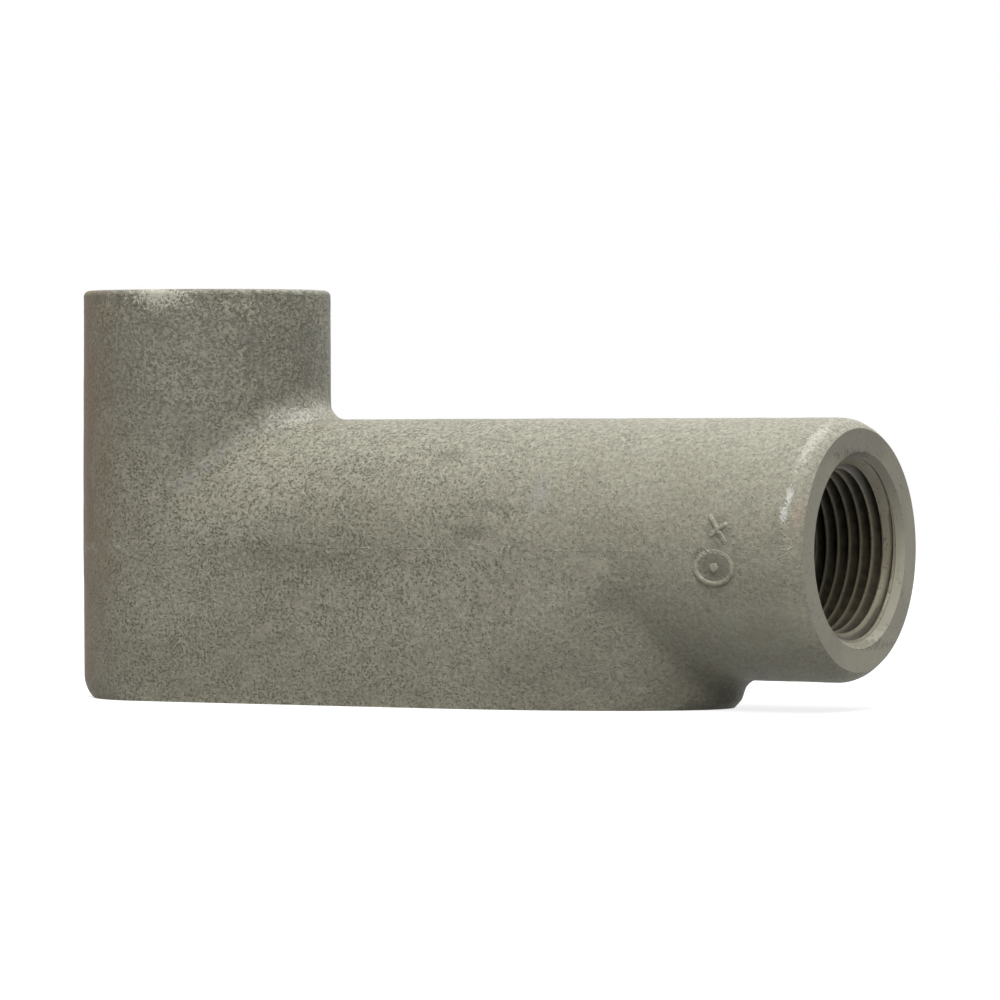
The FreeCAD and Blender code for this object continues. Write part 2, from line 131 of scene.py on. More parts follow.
class Graph:
    """A node tree under construction."""

    def __init__(self, tree: bpy.types.NodeTree) -> None:
        """Start with an empty tree."""
        self.tree = tree
        tree.nodes.clear()

    def node(self, kind: str, **settings: object) -> bpy.types.Node:
        """Add a node.

        Args:
            kind: The node's type name.
            settings: Properties of the node to set.

        Returns:
            The node.
        """
        node = self.tree.nodes.new(kind)
        for name, value in settings.items():
            setattr(node, name, value)
        return node

    def feed(self, target: bpy.types.NodeSocket, value: object) -> None:
        """Link a socket to an input, or set the input to a constant.

        Args:
            target: The input.
            value: A socket or a constant.
        """
        if isinstance(value, bpy.types.NodeSocket):
            self.tree.links.new(value, target)
        else:
            target.default_value = value

    def math(self, operation: str, first: object, second: object = 0.0) -> bpy.types.NodeSocket:
        """Add a math node and give its result.

        Args:
            operation: The node's operation.
            first: The first value.
            second: The second value.

        Returns:
            The result.
        """
        node = self.node("ShaderNodeMath", operation=operation)
        self.feed(node.inputs[0], first)
        self.feed(node.inputs[1], second)
        return node.outputs[0]

    def vector_math(self, operation: str, first: object, second: object) -> bpy.types.NodeSocket:
        """Add a vector math node and give its result.

        Args:
            operation: The node's operation.
            first: The first vector.
            second: The second vector.

        Returns:
            The result.
        """
        node = self.node("ShaderNodeVectorMath", operation=operation)
        self.feed(node.inputs[0], first)
        self.feed(node.inputs[1], second)
        return node.outputs["Vector"]

    def length(self, vector: object) -> bpy.types.NodeSocket:
        """Give a vector's length."""
        node = self.node("ShaderNodeVectorMath", operation="LENGTH")
        self.feed(node.inputs[0], vector)
        return node.outputs["Value"]

    def scale(self, vector: object, factor: object) -> bpy.types.NodeSocket:
        """Scale a vector, or a colour's brightness.

        Args:
            vector: The vector or the colour.
            factor: What it is multiplied by.

        Returns:
            The scaled vector.
        """
        node = self.node("ShaderNodeVectorMath", operation="SCALE")
        self.feed(node.inputs[0], vector)
        self.feed(node.inputs["Scale"], factor)
        return node.outputs["Vector"]

    def axes(self, vector: object) -> bpy.types.NodeOutputs:
        """Split a vector into X, Y and Z."""
        node = self.node("ShaderNodeSeparateXYZ")
        self.feed(node.inputs[0], vector)
        return node.outputs

    def place(self) -> bpy.types.NodeSocket:
        """Give the place on the piece that is being shaded."""
        return self.node("ShaderNodeTexCoord").outputs["Object"]

    def noise(self, vector: object, scale: object, detail: float = 2.0,
              roughness: float = 0.5, seed: float = 0.0) -> bpy.types.NodeSocket:
        """Add a noise texture, seeded by a shift along its fourth axis, and give its value.

        Args:
            vector: The place.
            scale: How fine the noise is.
            detail: How many finer layers it has.
            roughness: How strong those are.
            seed: The shift.

        Returns:
            The noise, about 0.5.
        """
        node = self.node("ShaderNodeTexNoise", noise_dimensions="4D")
        self.feed(node.inputs["Vector"], vector)
        self.feed(node.inputs["Scale"], scale)
        node.inputs["W"].default_value = seed
        node.inputs["Detail"].default_value = detail
        node.inputs["Roughness"].default_value = roughness
        return node.outputs[0]

    def step(self, value: object, low: object, high: object) -> bpy.types.NodeSocket:
        """Turn a value smoothly from 0 at low to 1 at high.

        Args:
            value: The value.
            low: Where the result is 0.
            high: Where the result is 1.

        Returns:
            The result, from 0 to 1.
        """
        node = self.node("ShaderNodeMapRange", interpolation_type="SMOOTHSTEP")
        self.feed(node.inputs["Value"], value)
        self.feed(node.inputs["From Min"], low)
        self.feed(node.inputs["From Max"], high)
        return node.outputs["Result"]

    def blend(self, share: object, first: object, second: object) -> bpy.types.NodeSocket:
        """Mix two colours.

        Args:
            share: How much of the second.
            first: The first colour.
            second: The second colour.

        Returns:
            The mixture.
        """
        node = self.node("ShaderNodeMix", data_type="RGBA")
        self.feed(node.inputs["Factor"], share)
        self.feed(node.inputs["A"], first)
        self.feed(node.inputs["B"], second)
        return node.outputs["Result"]

    def shift(self, value: object, share: object, target: float) -> bpy.types.NodeSocket:
        """Move a number towards a target by a share.

        Args:
            value: The number.
            share: How far to go, from 0 to 1.
            target: The target.

        Returns:
            The moved number.
        """
        node = self.node("ShaderNodeMix", data_type="FLOAT")
        self.feed(node.inputs["Factor"], share)
        self.feed(node.inputs["A"], value)
        self.feed(node.inputs["B"], target)
        return node.outputs["Result"]

    def group(self, tree: bpy.types.NodeTree, **values: object) -> bpy.types.Node:
        """Place a node group with its own values, named with underscores for spaces.

        Args:
            tree: The group.
            values: What feeds each of its inputs.

        Returns:
            The group's node.
        """
        node = self.node("ShaderNodeGroup")
        node.node_tree = tree
        for name, value in values.items():
            self.feed(node.inputs[name.replace("_", " ")], value)
        return node

    def coat(self, colour: object, roughness: object, height: object, bump_height: float,
             specular: float = 0.5, metallic: float = 0.0) -> None:
        """End a material with one shader over a bump.

        Args:
            colour: The base colour.
            roughness: The roughness.
            height: What the bump follows.
            bump_height: How high a full step of it stands, in metres.
            specular: The strength of its plain reflection.
            metallic: How far it is bare metal.
        """
        shader = self.node("ShaderNodeBsdfPrincipled")
        self.feed(shader.inputs["Base Color"], colour)
        self.feed(shader.inputs["Roughness"], roughness)
        shader.inputs["Specular IOR Level"].default_value = specular
        shader.inputs["Metallic"].default_value = metallic
        bump = self.node("ShaderNodeBump")
        bump.inputs["Distance"].default_value = bump_height
        self.feed(bump.inputs["Height"], height)
        self.feed(shader.inputs["Normal"], bump.outputs["Normal"])
        self.end("ShaderNodeOutputMaterial", shader.outputs["BSDF"])

    def end(self, kind: str, surface: object) -> None:
        """Send a shader to the material's or the world's output."""
        out = self.node(kind)
        self.feed(out.inputs["Surface"], surface)


def new_material(name: str) -> tuple[bpy.types.Material, Graph]:
    """Start a material that is made of nodes."""
    material = bpy.data.materials.new(name)
    material.use_nodes = True
    return material, Graph(material.node_tree)


def new_group(name: str, inputs: dict[str, str],
              outputs: dict[str, str]) -> tuple[Graph, bpy.types.Node, bpy.types.Node]:
    """Start a shader node group.

    Args:
        name: The group's name.
        inputs: Socket type of each named input.
        outputs: Socket type of each named output.

    Returns:
        The graph, its input node and its output node.
    """
    tree = bpy.data.node_groups.new(name, "ShaderNodeTree")
    for label, kind in inputs.items():
        tree.interface.new_socket(label, in_out="INPUT", socket_type=kind)
    for label, kind in outputs.items():
        tree.interface.new_socket(label, in_out="OUTPUT", socket_type=kind)
    graph = Graph(tree)
    return graph, graph.node("NodeGroupInput"), graph.node("NodeGroupOutput")


def sand_grain_group() -> bpy.types.NodeTree:
    """Build the grain that a sand mould leaves: a fine nap, with pits and raised flecks.

    Returns:
        A group with the outputs Height, Nap, Pits and Flecks.
    """
    graph, given, out = new_group(
        "sand grain",
        {"Vector": "NodeSocketVector", "Grain": "NodeSocketFloat", "Pit Share": "NodeSocketFloat",
         "Fleck Share": "NodeSocketFloat"},
        {"Height": "NodeSocketFloat", "Nap": "NodeSocketFloat", "Pits": "NodeSocketFloat",
         "Flecks": "NodeSocketFloat"})
    nap_scale = 0.6
    fine_scale = 2.2
    crowd_scale = 0.12
    lump_scale = 1.3
    pit_brink = 0.36
    pit_slope = 0.13
    fleck_brink = 0.70
    fleck_slope = 0.12
    share_reach = 0.2
    small_height = 0.3
    vector = given.outputs["Vector"]
    grain = given.outputs["Grain"]
    nap = graph.noise(vector, graph.math("MULTIPLY", grain, nap_scale), detail=3.0, roughness=0.65, seed=1.0)
    fine = graph.noise(vector, graph.math("MULTIPLY", grain, fine_scale), detail=1.0, seed=2.0)
    spots = graph.noise(vector, grain, detail=2.0, roughness=0.6, seed=4.0)
    crowd = graph.noise(vector, graph.math("MULTIPLY", grain, crowd_scale), detail=2.0, seed=6.0)
    share = graph.math("ADD", given.outputs["Pit Share"], graph.math("SUBTRACT", crowd, 0.5))
    brink = graph.math("ADD", graph.math("MULTIPLY", share, share_reach), pit_brink)
    pits = graph.step(spots, brink, graph.math("SUBTRACT", brink, pit_slope))
    lumps = graph.noise(vector, graph.math("MULTIPLY", grain, lump_scale), detail=2.0, roughness=0.6,
                        seed=7.0)
    plenty = graph.math("MULTIPLY", given.outputs["Fleck Share"], share_reach)
    rare = graph.math("SUBTRACT", fleck_brink, plenty)
    flecks = graph.step(lumps, rare, graph.math("ADD", rare, fleck_slope))
    raised = graph.math("ADD", nap, graph.math("MULTIPLY", graph.math("ADD", flecks, fine), small_height))
    sunk = graph.math("MULTIPLY", pits, small_height)
    graph.feed(out.inputs["Height"], graph.math("SUBTRACT", raised, sunk))
    graph.feed(out.inputs["Nap"], graph.step(nap, 0.33, 0.67))
    graph.feed(out.inputs["Pits"], pits)
    graph.feed(out.inputs["Flecks"], flecks)
    return graph.tree


def mottle_group() -> bpy.types.NodeTree:
    """Build the slow drift of tone over a dipped or sprayed coat.

    Returns:
        A group with the outputs Tone and Cloud.
    """
    graph, given, out = new_group(
        "coat mottle", {"Vector": "NodeSocketVector", "Patch": "NodeSocketFloat"},
        {"Tone": "NodeSocketFloat", "Cloud": "NodeSocketFloat"})
    vector = given.outputs["Vector"]
    patch = given.outputs["Patch"]
    small_scale = 5.0
    wide_share = 0.6
    small_share = 0.4
    wide = graph.noise(vector, patch, detail=2.0, seed=3.0)
    small = graph.noise(vector, graph.math("MULTIPLY", patch, small_scale), detail=4.0, roughness=0.6,
                        seed=5.0)
    both = graph.math("ADD", graph.math("MULTIPLY", wide, wide_share),
                      graph.math("MULTIPLY", small, small_share))
    graph.feed(out.inputs["Tone"], graph.step(both, 0.3, 0.7))
    graph.feed(out.inputs["Cloud"], graph.step(small, 0.35, 0.75))
    return graph.tree


def patch_group() -> bpy.types.NodeTree:
    """Build the mask of a place with a ragged edge, for rubbed, nicked and stained places and for patches of
    painted light and shade.

    Returns:
        A group with the output Mask.
    """
    graph, given, out = new_group(
        "wear and painted light patch",
        {"Vector": "NodeSocketVector", "Centre": "NodeSocketVector", "Reach": "NodeSocketVector",
         "Raggedness": "NodeSocketFloat", "Break Up": "NodeSocketFloat"},
        {"Mask": "NodeSocketFloat"})
    full_within = 0.55
    away = graph.vector_math("SUBTRACT", given.outputs["Vector"], given.outputs["Centre"])
    distance = graph.length(graph.vector_math("DIVIDE", away, given.outputs["Reach"]))
    ragged = graph.noise(given.outputs["Vector"], given.outputs["Break Up"], detail=4.0, roughness=0.7,
                         seed=11.0)
    swing = graph.math("MULTIPLY", graph.math("SUBTRACT", ragged, 0.5), given.outputs["Raggedness"])
    edge = graph.math("ADD", distance, swing)
    graph.feed(out.inputs["Mask"], graph.step(edge, 1.0, full_within))
    return graph.tree


@dataclass(frozen=True)
class Groups:
    """The effects that the finishes share."""

    grain: bpy.types.NodeTree
    mottle: bpy.types.NodeTree
    patch: bpy.types.NodeTree


def build_groups() -> Groups:
    """Build each shared effect once."""
    return Groups(grain=sand_grain_group(), mottle=mottle_group(), patch=patch_group())


@dataclass(frozen=True)
class Patch:
    """A place on the coat with its own colour, in millimetres from the back hub's axis: wear, a stain, or
    painted light and shade.
    """

    name: str
    centre: Point
    reach: Point
    colour: Colour
    strength: float
    raggedness: float = 1.2
    break_up: float = 900.0
    roughness: float = 0.5


def saddle_highlight_streak() -> tuple[Patch, ...]:
    """Place the painted highlight that runs as a pale streak down the saddle, where the hub's radius meets
    the barrel's.

    Returns:
        The places, from the top of the saddle to its foot.
    """
    setback = 0.3
    lift = 2.0
    reach = (1.35, 1.5, 1.1)
    # A pale grey that stands in for the highlight along the saddle.
    pale = (0.34, 0.345, 0.34)
    places = []
    for across in (-9.6, -11.6, -13.3, -14.7, -15.9, -16.9, -17.6):
        ahead = math.sqrt(CastingSizes.hub_radius ** 2 - across ** 2)
        centre = (ahead - setback, across, CastingSizes.parting_height + ahead + lift)
        places.append(Patch("painted highlight down the saddle", centre, reach, pale, strength=0.26, raggedness=4.0,
                            break_up=1700.0, roughness=0.4))
    return tuple(places)


# Each place has its centre, reach, colour and strength, then how ragged its edge is, how fine the
# raggedness, and its roughness.
PAINT_PATCHES = (
    Patch("hub shade", (4.0, -15.0, 49.5), (16.0, 14.0, 16.5), (0.150, 0.145, 0.122), 0.42, 0.9, 110.0),
    # A dark brown band down the back edge of the hub, with a wider fade and edge round it.
    Patch("brown band at the back", (-15.5, -11.5, 38.0), (9.0, 9.0, 62.0), (0.165, 0.104, 0.050),
          0.5, 1.0, 160.0, 0.6),
    Patch("fade of the brown band", (-14.5, -13.0, 38.0), (12.5, 12.0, 62.0), (0.165, 0.104, 0.050),
          0.36, 1.2, 240.0),
    Patch("edge of the brown band", (-14.0, -13.5, 38.0), (17.0, 16.0, 66.0), (0.165, 0.120, 0.070),
          0.16, 1.4, 300.0),
    # Painted shade on the side of the hub that faces along the barrel.
    Patch("painted shade on the hub's side", (17.0, -5.5, 50.5), (6.0, 11.0, 14.0), (0.140, 0.138, 0.118),
          0.42, 2.2, 420.0),
    Patch("dark hub rim", (2.0, -12.0, 60.6), (21.0, 18.0, 1.8), (0.120, 0.115, 0.090), 0.35, 2.0, 500.0),
    Patch("rubbed hub rim", (3.4, -18.4, 60.5), (4.6, 2.6, 1.6), (0.56, 0.54, 0.44),
          0.75, 7.5, 2600.0, 0.5),
    Patch("stain under the hub", (103.0, -14.9, 11.4), (2.6, 2.0, 1.6), (0.24, 0.17, 0.105),
          0.3, 3.0, 1200.0),
    Patch("smudge near the top", (50.7, -13.0, 36.8), (3.4, 2.5, 1.5), (0.105, 0.100, 0.074),
          0.35, 5.5, 2300.0),
    Patch("smudge at mid height", (57.5, -18.8, 25.5), (3.4, 2.0, 1.5), (0.098, 0.092, 0.068),
          0.45, 5.5, 2300.0),
    Patch("smudge beside it", (60.3, -17.9, 29.4), (4.4, 2.0, 1.0), (0.105, 0.100, 0.074),
          0.4, 5.5, 2300.0),
    Patch("smudges on the side", (28.0, -18.8, 22.0), (14.0, 2.0, 2.6), (0.125, 0.118, 0.088),
          0.3, 5.0, 1700.0),
    # A darker patch where the barrel's underside meets the nose.
    Patch("darker patch by the nose", (80.5, -17.9, 16.6), (4.2, 3.0, 3.2), (0.130, 0.122, 0.098),
          0.4, 4.0, 1700.0),
    Patch("smudge by the marks", (95.6, -18.9, 22.8), (1.8, 1.5, 1.2), (0.115, 0.110, 0.082),
          0.4, 4.0, 1700.0),
    # Painted glint: a pale patch on the rounded saddle between hub and barrel.
    Patch("painted glint on the saddle", (18.6, -3.2, 42.2), (3.0, 6.6, 1.7), (0.56, 0.55, 0.49), 0.46, 7.0, 2600.0, 0.38),
    # Painted shade: the trough's side darker towards the floor.
    Patch("painted shade along the foot", (40.0, -18.8, 2.0), (78.0, 5.0, 11.0), (0.160, 0.150, 0.112),
          0.16, 1.4, 260.0),
    # Painted light: the barrel's underside by the end hub made paler, as if lit from the floor.
    Patch("painted light on the barrel's belly", (104.0, -15.5, 12.5), (11.0, 6.5, 6.0), (0.40, 0.385, 0.30),
          0.3, 1.0, 200.0),
    *saddle_highlight_streak(),
    Patch("pale streak", (68.1, -16.8, 31.0), (1.5, 2.5, 4.0), (0.31, 0.31, 0.31), 0.3, 4.0, 1300.0, 0.48),
    # Nicks at the mouth: chipped paint, with their white a painted glint on the bare iron.
    Patch("upper nick and painted glint at the mouth", (108.9, -16.9, 31.0), (0.55, 1.2, 1.6), (0.60, 0.60, 0.56),
          0.75, 4.6, 3300.0, 0.3),
    Patch("lower nick and painted glint at the mouth", (108.6, -17.7, 28.6), (0.55, 1.2, 1.5), (0.60, 0.60, 0.58),
          0.75, 4.6, 3300.0, 0.3),
    Patch("bare fleck at the mouth", (110.4, -17.3, 28.6), (0.55, 1.2, 2.9), (0.33, 0.255, 0.20),
          0.6, 4.6, 2600.0, 0.4),
    # Wear along the mouth's rounded edge, with a painted highlight where the rounding catches the light.
    Patch("wear and painted highlight on the mouth edge", (109.2, -9.5, 37.8), (0.85, 6.5, 5.0), (0.52, 0.505, 0.44),
          0.5, 4.4, 2300.0, 0.36),
    # Painted shade round the raised marks and inside the ring, standing in for the shadows of their relief.
    Patch("shade round the ring", (97.75, -18.9, 20.95), (4.3, 2.0, 3.7), (0.125, 0.118, 0.090),
          0.3, 1.2, 1500.0),
    Patch("painted shade inside the ring", (97.75, -18.9, 20.95), (2.7, 2.0, 2.1), (0.105, 0.100, 0.076),
          0.45, 0.8, 1500.0),
    Patch("shade round the bar", (98.35, -18.8, 26.3), (2.6, 2.0, 3.0), (0.125, 0.118, 0.090),
          0.35, 1.6, 1500.0),
)

FACE_PATCHES = (
    # Painted light and shade: the face darker at its top and paler at its foot and right side, as lit from
    # below and the right.
    Patch("painted shade on the face's top", (111.3, -2.0, 40.5), (2.0, 17.0, 7.5), (0.165, 0.156, 0.120),
          0.5, 0.8, 260.0),
    Patch("painted light on the face's foot", (111.3, 4.0, 7.0), (2.0, 15.0, 6.5), (0.40, 0.38, 0.29),
          0.4, 0.8, 260.0),
    Patch("painted light on the face's side", (111.3, 17.0, 22.0), (2.0, 4.0, 12.0), (0.40, 0.38, 0.29),
          0.35, 0.8, 260.0),
    Patch("burr over the bore", (110.9, -2.0, 36.9), (1.3, 6.0, 1.0), (0.075, 0.068, 0.050),
          0.6, 4.5, 1700.0),
    Patch("burr under the bore", (110.9, 3.0, 9.6), (1.3, 7.0, 0.9), (0.110, 0.103, 0.080),
          0.5, 4.5, 1700.0),
)


def lay_patches(graph: Graph, group: bpy.types.NodeTree, sizes: CastingSizes, patches: Iterable[Patch],
                colour: object, roughness: object) -> tuple[object, object]:
    """Lay the worn and stained places, and the painted light and shade, over a coat.

    Args:
        graph: The material under construction.
        group: The ragged mask.
        sizes: The casting's sizes, which place it.
        patches: The places.
        colour: The coat's colour.
        roughness: The coat's roughness.

    Returns:
        The colour and the roughness with the places on them.
    """
    vector = graph.place()
    for patch in patches:
        mask = graph.group(group, Vector=vector, Centre=tuple(sizes.to_row(patch.centre)),
                           Reach=tuple(Vector(patch.reach) * MILLIMETRE),
                           Raggedness=patch.raggedness, Break_Up=patch.break_up)
        mask.label = patch.name
        share = graph.math("MULTIPLY", mask.outputs["Mask"], patch.strength)
        colour = graph.blend(share, colour, (*patch.colour, 1.0))
        roughness = graph.shift(roughness, share, patch.roughness)
    return colour, roughness


class Finish(enum.Enum):
    """The casting's surfaces, in the order of its material slots."""

    CAST = 0
    FACED = 1
    BORED = 2
    HOLLOW = 3


@dataclass(frozen=True)
class PaintedCast:
    """Thin grey-green paint over the sand-cast skin."""

    groups: Groups
    sizes: CastingSizes
    name: str = "painted cast iron"
    light: Colour = (0.298, 0.285, 0.222)
    deep: Colour = (0.247, 0.235, 0.179)
    pit: Colour = (0.100, 0.093, 0.066)
    fleck: Colour = (0.40, 0.385, 0.305)
    grain: float = 2500.0
    mottle: float = 60.0
    nap_share: float = 0.48
    smoother_nap_share: float = 0.34
    upper_nap_share: float = 0.95
    upper_reach: tuple[float, float] = (33.0, 52.0)
    pit_share: float = 0.68
    smoother_pit_share: float = 0.32
    pit_cover: float = 0.84
    smoother_pit_cover: float = 0.6
    smoother_reach: tuple[float, float] = (30.0, 100.0)
    fleck_share: float = 0.65
    fleck_cover: float = 0.5
    roughness: float = 0.5
    specular: float = 0.19
    bump_height: float = 0.00019
    seam_width: float = 0.0012
    seam_wander: float = 0.004
    seam_height: float = 0.6
    seam_cover: float = 0.85
    worm_scale: float = 1000.0
    patches: tuple[Patch, ...] = PAINT_PATCHES

    def build(self) -> bpy.types.Material:
        """Build the material.

        Returns:
            The material.
        """
        material, graph = new_material(self.name)
        vector = graph.place()
        axes = graph.axes(vector)
        smoother = graph.step(axes["X"], *(self.sizes.to_row((x, 0.0, 0.0)).x for x in self.smoother_reach))
        upper = graph.step(axes["Z"], *(self.sizes.to_row((0.0, 0.0, z)).z for z in self.upper_reach))
        grain = graph.group(self.groups.grain, Vector=vector, Grain=self.grain,
                            Pit_Share=graph.shift(self.pit_share, smoother, self.smoother_pit_share),
                            Fleck_Share=self.fleck_share)
        mottle = graph.group(self.groups.mottle, Vector=vector, Patch=self.mottle)
        colour = graph.blend(mottle.outputs["Tone"], (*self.deep, 1.0), (*self.light, 1.0))
        swing = graph.math("SUBTRACT", grain.outputs["Nap"], 0.5)
        depth = graph.shift(self.nap_share, smoother, self.smoother_nap_share)
        depth = graph.shift(depth, upper, self.upper_nap_share)
        colour = graph.scale(colour, graph.math("ADD", graph.math("MULTIPLY", swing, depth), 1.0))
        pale = graph.math("MULTIPLY", grain.outputs["Flecks"], self.fleck_cover)
        colour = graph.blend(pale, colour, (*self.fleck, 1.0))
        cover = graph.shift(self.pit_cover, smoother, self.smoother_pit_cover)
        colour = graph.blend(graph.math("MULTIPLY", grain.outputs["Pits"], cover), colour, (*self.pit, 1.0))
        colour, roughness = lay_patches(graph, self.groups.patch, self.sizes, self.patches,
                                        colour, self.roughness)
        seam = self.parting_line(graph, vector)
        colour = graph.blend(graph.math("MULTIPLY", seam, self.seam_cover), colour, (*self.fleck, 1.0))
        height = graph.math("ADD", grain.outputs["Height"], graph.math("MULTIPLY", seam, self.seam_height))
        graph.coat(colour, roughness, height, self.bump_height, self.specular)
        return material

    def parting_line(self, graph: Graph, vector: bpy.types.NodeSocket) -> bpy.types.NodeSocket:
        """Mask the broken flecks that stand along the line where the mould parted.

        Args:
            graph: The material under construction.
            vector: The place on the piece.

        Returns:
            The mask.
        """
        level = self.sizes.parting_height * MILLIMETRE
        drift = graph.math("SUBTRACT", graph.noise(vector, 130.0, seed=13.0), 0.5)
        wander = graph.math("MULTIPLY", drift, self.seam_wander)
        offset = graph.math("ADD", graph.math("SUBTRACT", graph.axes(vector)["Z"], level), wander)
        band = graph.step(graph.math("ABSOLUTE", offset), self.seam_width, 0.2 * self.seam_width)
        worms = graph.node("ShaderNodeTexVoronoi", feature="DISTANCE_TO_EDGE")
        graph.feed(worms.inputs["Vector"], vector)
        worms.inputs["Scale"].default_value = self.worm_scale
        lines = graph.step(worms.outputs["Distance"], 0.12, 0.02)
        broken = graph.step(graph.noise(vector, 330.0, detail=4.0, roughness=0.7, seed=17.0), 0.52, 0.62)
        return graph.math("MULTIPLY", band, graph.math("MULTIPLY", lines, broken))


@dataclass(frozen=True)
class FacedIron:
    """The turned faces and countersinks, painted with the rest."""

    groups: Groups
    sizes: CastingSizes
    name: str = "faced and painted iron"
    light: Colour = (0.305, 0.288, 0.225)
    deep: Colour = (0.250, 0.236, 0.182)
    fleck: Colour = (0.42, 0.405, 0.34)
    pit: Colour = (0.14, 0.13, 0.10)
    grain: float = 1500.0
    mottle: float = 90.0
    pit_share: float = 0.3
    pit_cover: float = 0.6
    fleck_share: float = 0.5
    fleck_cover: float = 0.45
    roughness: float = 0.42
    duller: float = 0.52
    specular: float = 0.2
    bump_height: float = 0.00004
    patches: tuple[Patch, ...] = FACE_PATCHES

    def build(self) -> bpy.types.Material:
        """Build the material.

        Returns:
            The material.
        """
        material, graph = new_material(self.name)
        vector = graph.place()
        grain = graph.group(self.groups.grain, Vector=vector, Grain=self.grain, Pit_Share=self.pit_share,
                            Fleck_Share=self.fleck_share)
        mottle = graph.group(self.groups.mottle, Vector=vector, Patch=self.mottle)
        colour = graph.blend(mottle.outputs["Tone"], (*self.deep, 1.0), (*self.light, 1.0))
        pale = graph.math("MULTIPLY", grain.outputs["Flecks"], self.fleck_cover)
        colour = graph.blend(pale, colour, (*self.fleck, 1.0))
        dark = graph.math("MULTIPLY", grain.outputs["Pits"], self.pit_cover)
        colour = graph.blend(dark, colour, (*self.pit, 1.0))
        roughness = graph.shift(self.roughness, mottle.outputs["Cloud"], self.duller)
        colour, roughness = lay_patches(graph, self.groups.patch, self.sizes, self.patches,
                                        colour, roughness)
        graph.coat(colour, roughness, grain.outputs["Height"], self.bump_height, self.specular)
        return material


@dataclass(frozen=True)
class BoredIron:
    """Cut iron inside the hubs: oily and browned."""

    groups: Groups
    name: str = "bored iron"
    bright: Colour = (0.068, 0.057, 0.034)
    dull: Colour = (0.020, 0.016, 0.009)
    # The crests' colour: worn iron with a painted highlight.
    crest: Colour = (0.170, 0.150, 0.098)
    pit: Colour = (0.03, 0.026, 0.02)
    grain: float = 1400.0
    mottle: float = 160.0
    pit_share: float = 0.3
    pit_cover: float = 0.7
    fleck_share: float = 0.6
    roughness: float = 0.38
    duller: float = 0.6
    metallic: float = 0.15
    bump_height: float = 0.00003

    def build(self) -> bpy.types.Material:
        """Build the material.

        Returns:
            The material.
        """
        material, graph = new_material(self.name)
        vector = graph.place()
        grain = graph.group(self.groups.grain, Vector=vector, Grain=self.grain, Pit_Share=self.pit_share,
                            Fleck_Share=self.fleck_share)
        mottle = graph.group(self.groups.mottle, Vector=vector, Patch=self.mottle)
        colour = graph.blend(mottle.outputs["Tone"], (*self.dull, 1.0), (*self.bright, 1.0))
        # Lighten the crests and the countersink's cut: wear, with a painted highlight.
        wear_and_highlight = graph.node("ShaderNodeAttribute", attribute_name=CREST_WEAR_AND_HIGHLIGHT)
        colour = graph.blend(wear_and_highlight.outputs["Fac"], colour, (*self.crest, 1.0))
        dark = graph.math("MULTIPLY", grain.outputs["Pits"], self.pit_cover)
        colour = graph.blend(dark, colour, (*self.pit, 1.0))
        roughness = graph.shift(self.roughness, mottle.outputs["Cloud"], self.duller)
        graph.coat(colour, roughness, grain.outputs["Height"], self.bump_height, metallic=self.metallic)
        return material


@dataclass
class Facet:
    """A triangle of the skin: its points, the surface's direction at each, and its finish."""

    points: tuple[int, int, int]
    normals: tuple[Vector, Vector, Vector]
    finish: Finish

    def sides(self) -> Iterator[tuple[tuple[int, int], tuple[Vector, Vector]]]:
        """Give each side's two points, the lower number first, and the directions there.

        Yields:
            The points and the directions.
        """
        for corner in range(3):
            after = (corner + 1) % 3
            ends = (self.points[corner], self.points[after])
            normals = (self.normals[corner], self.normals[after])
            if ends[0] > ends[1]:
                ends = (ends[1], ends[0])
                normals = (normals[1], normals[0])
            yield ends, normals


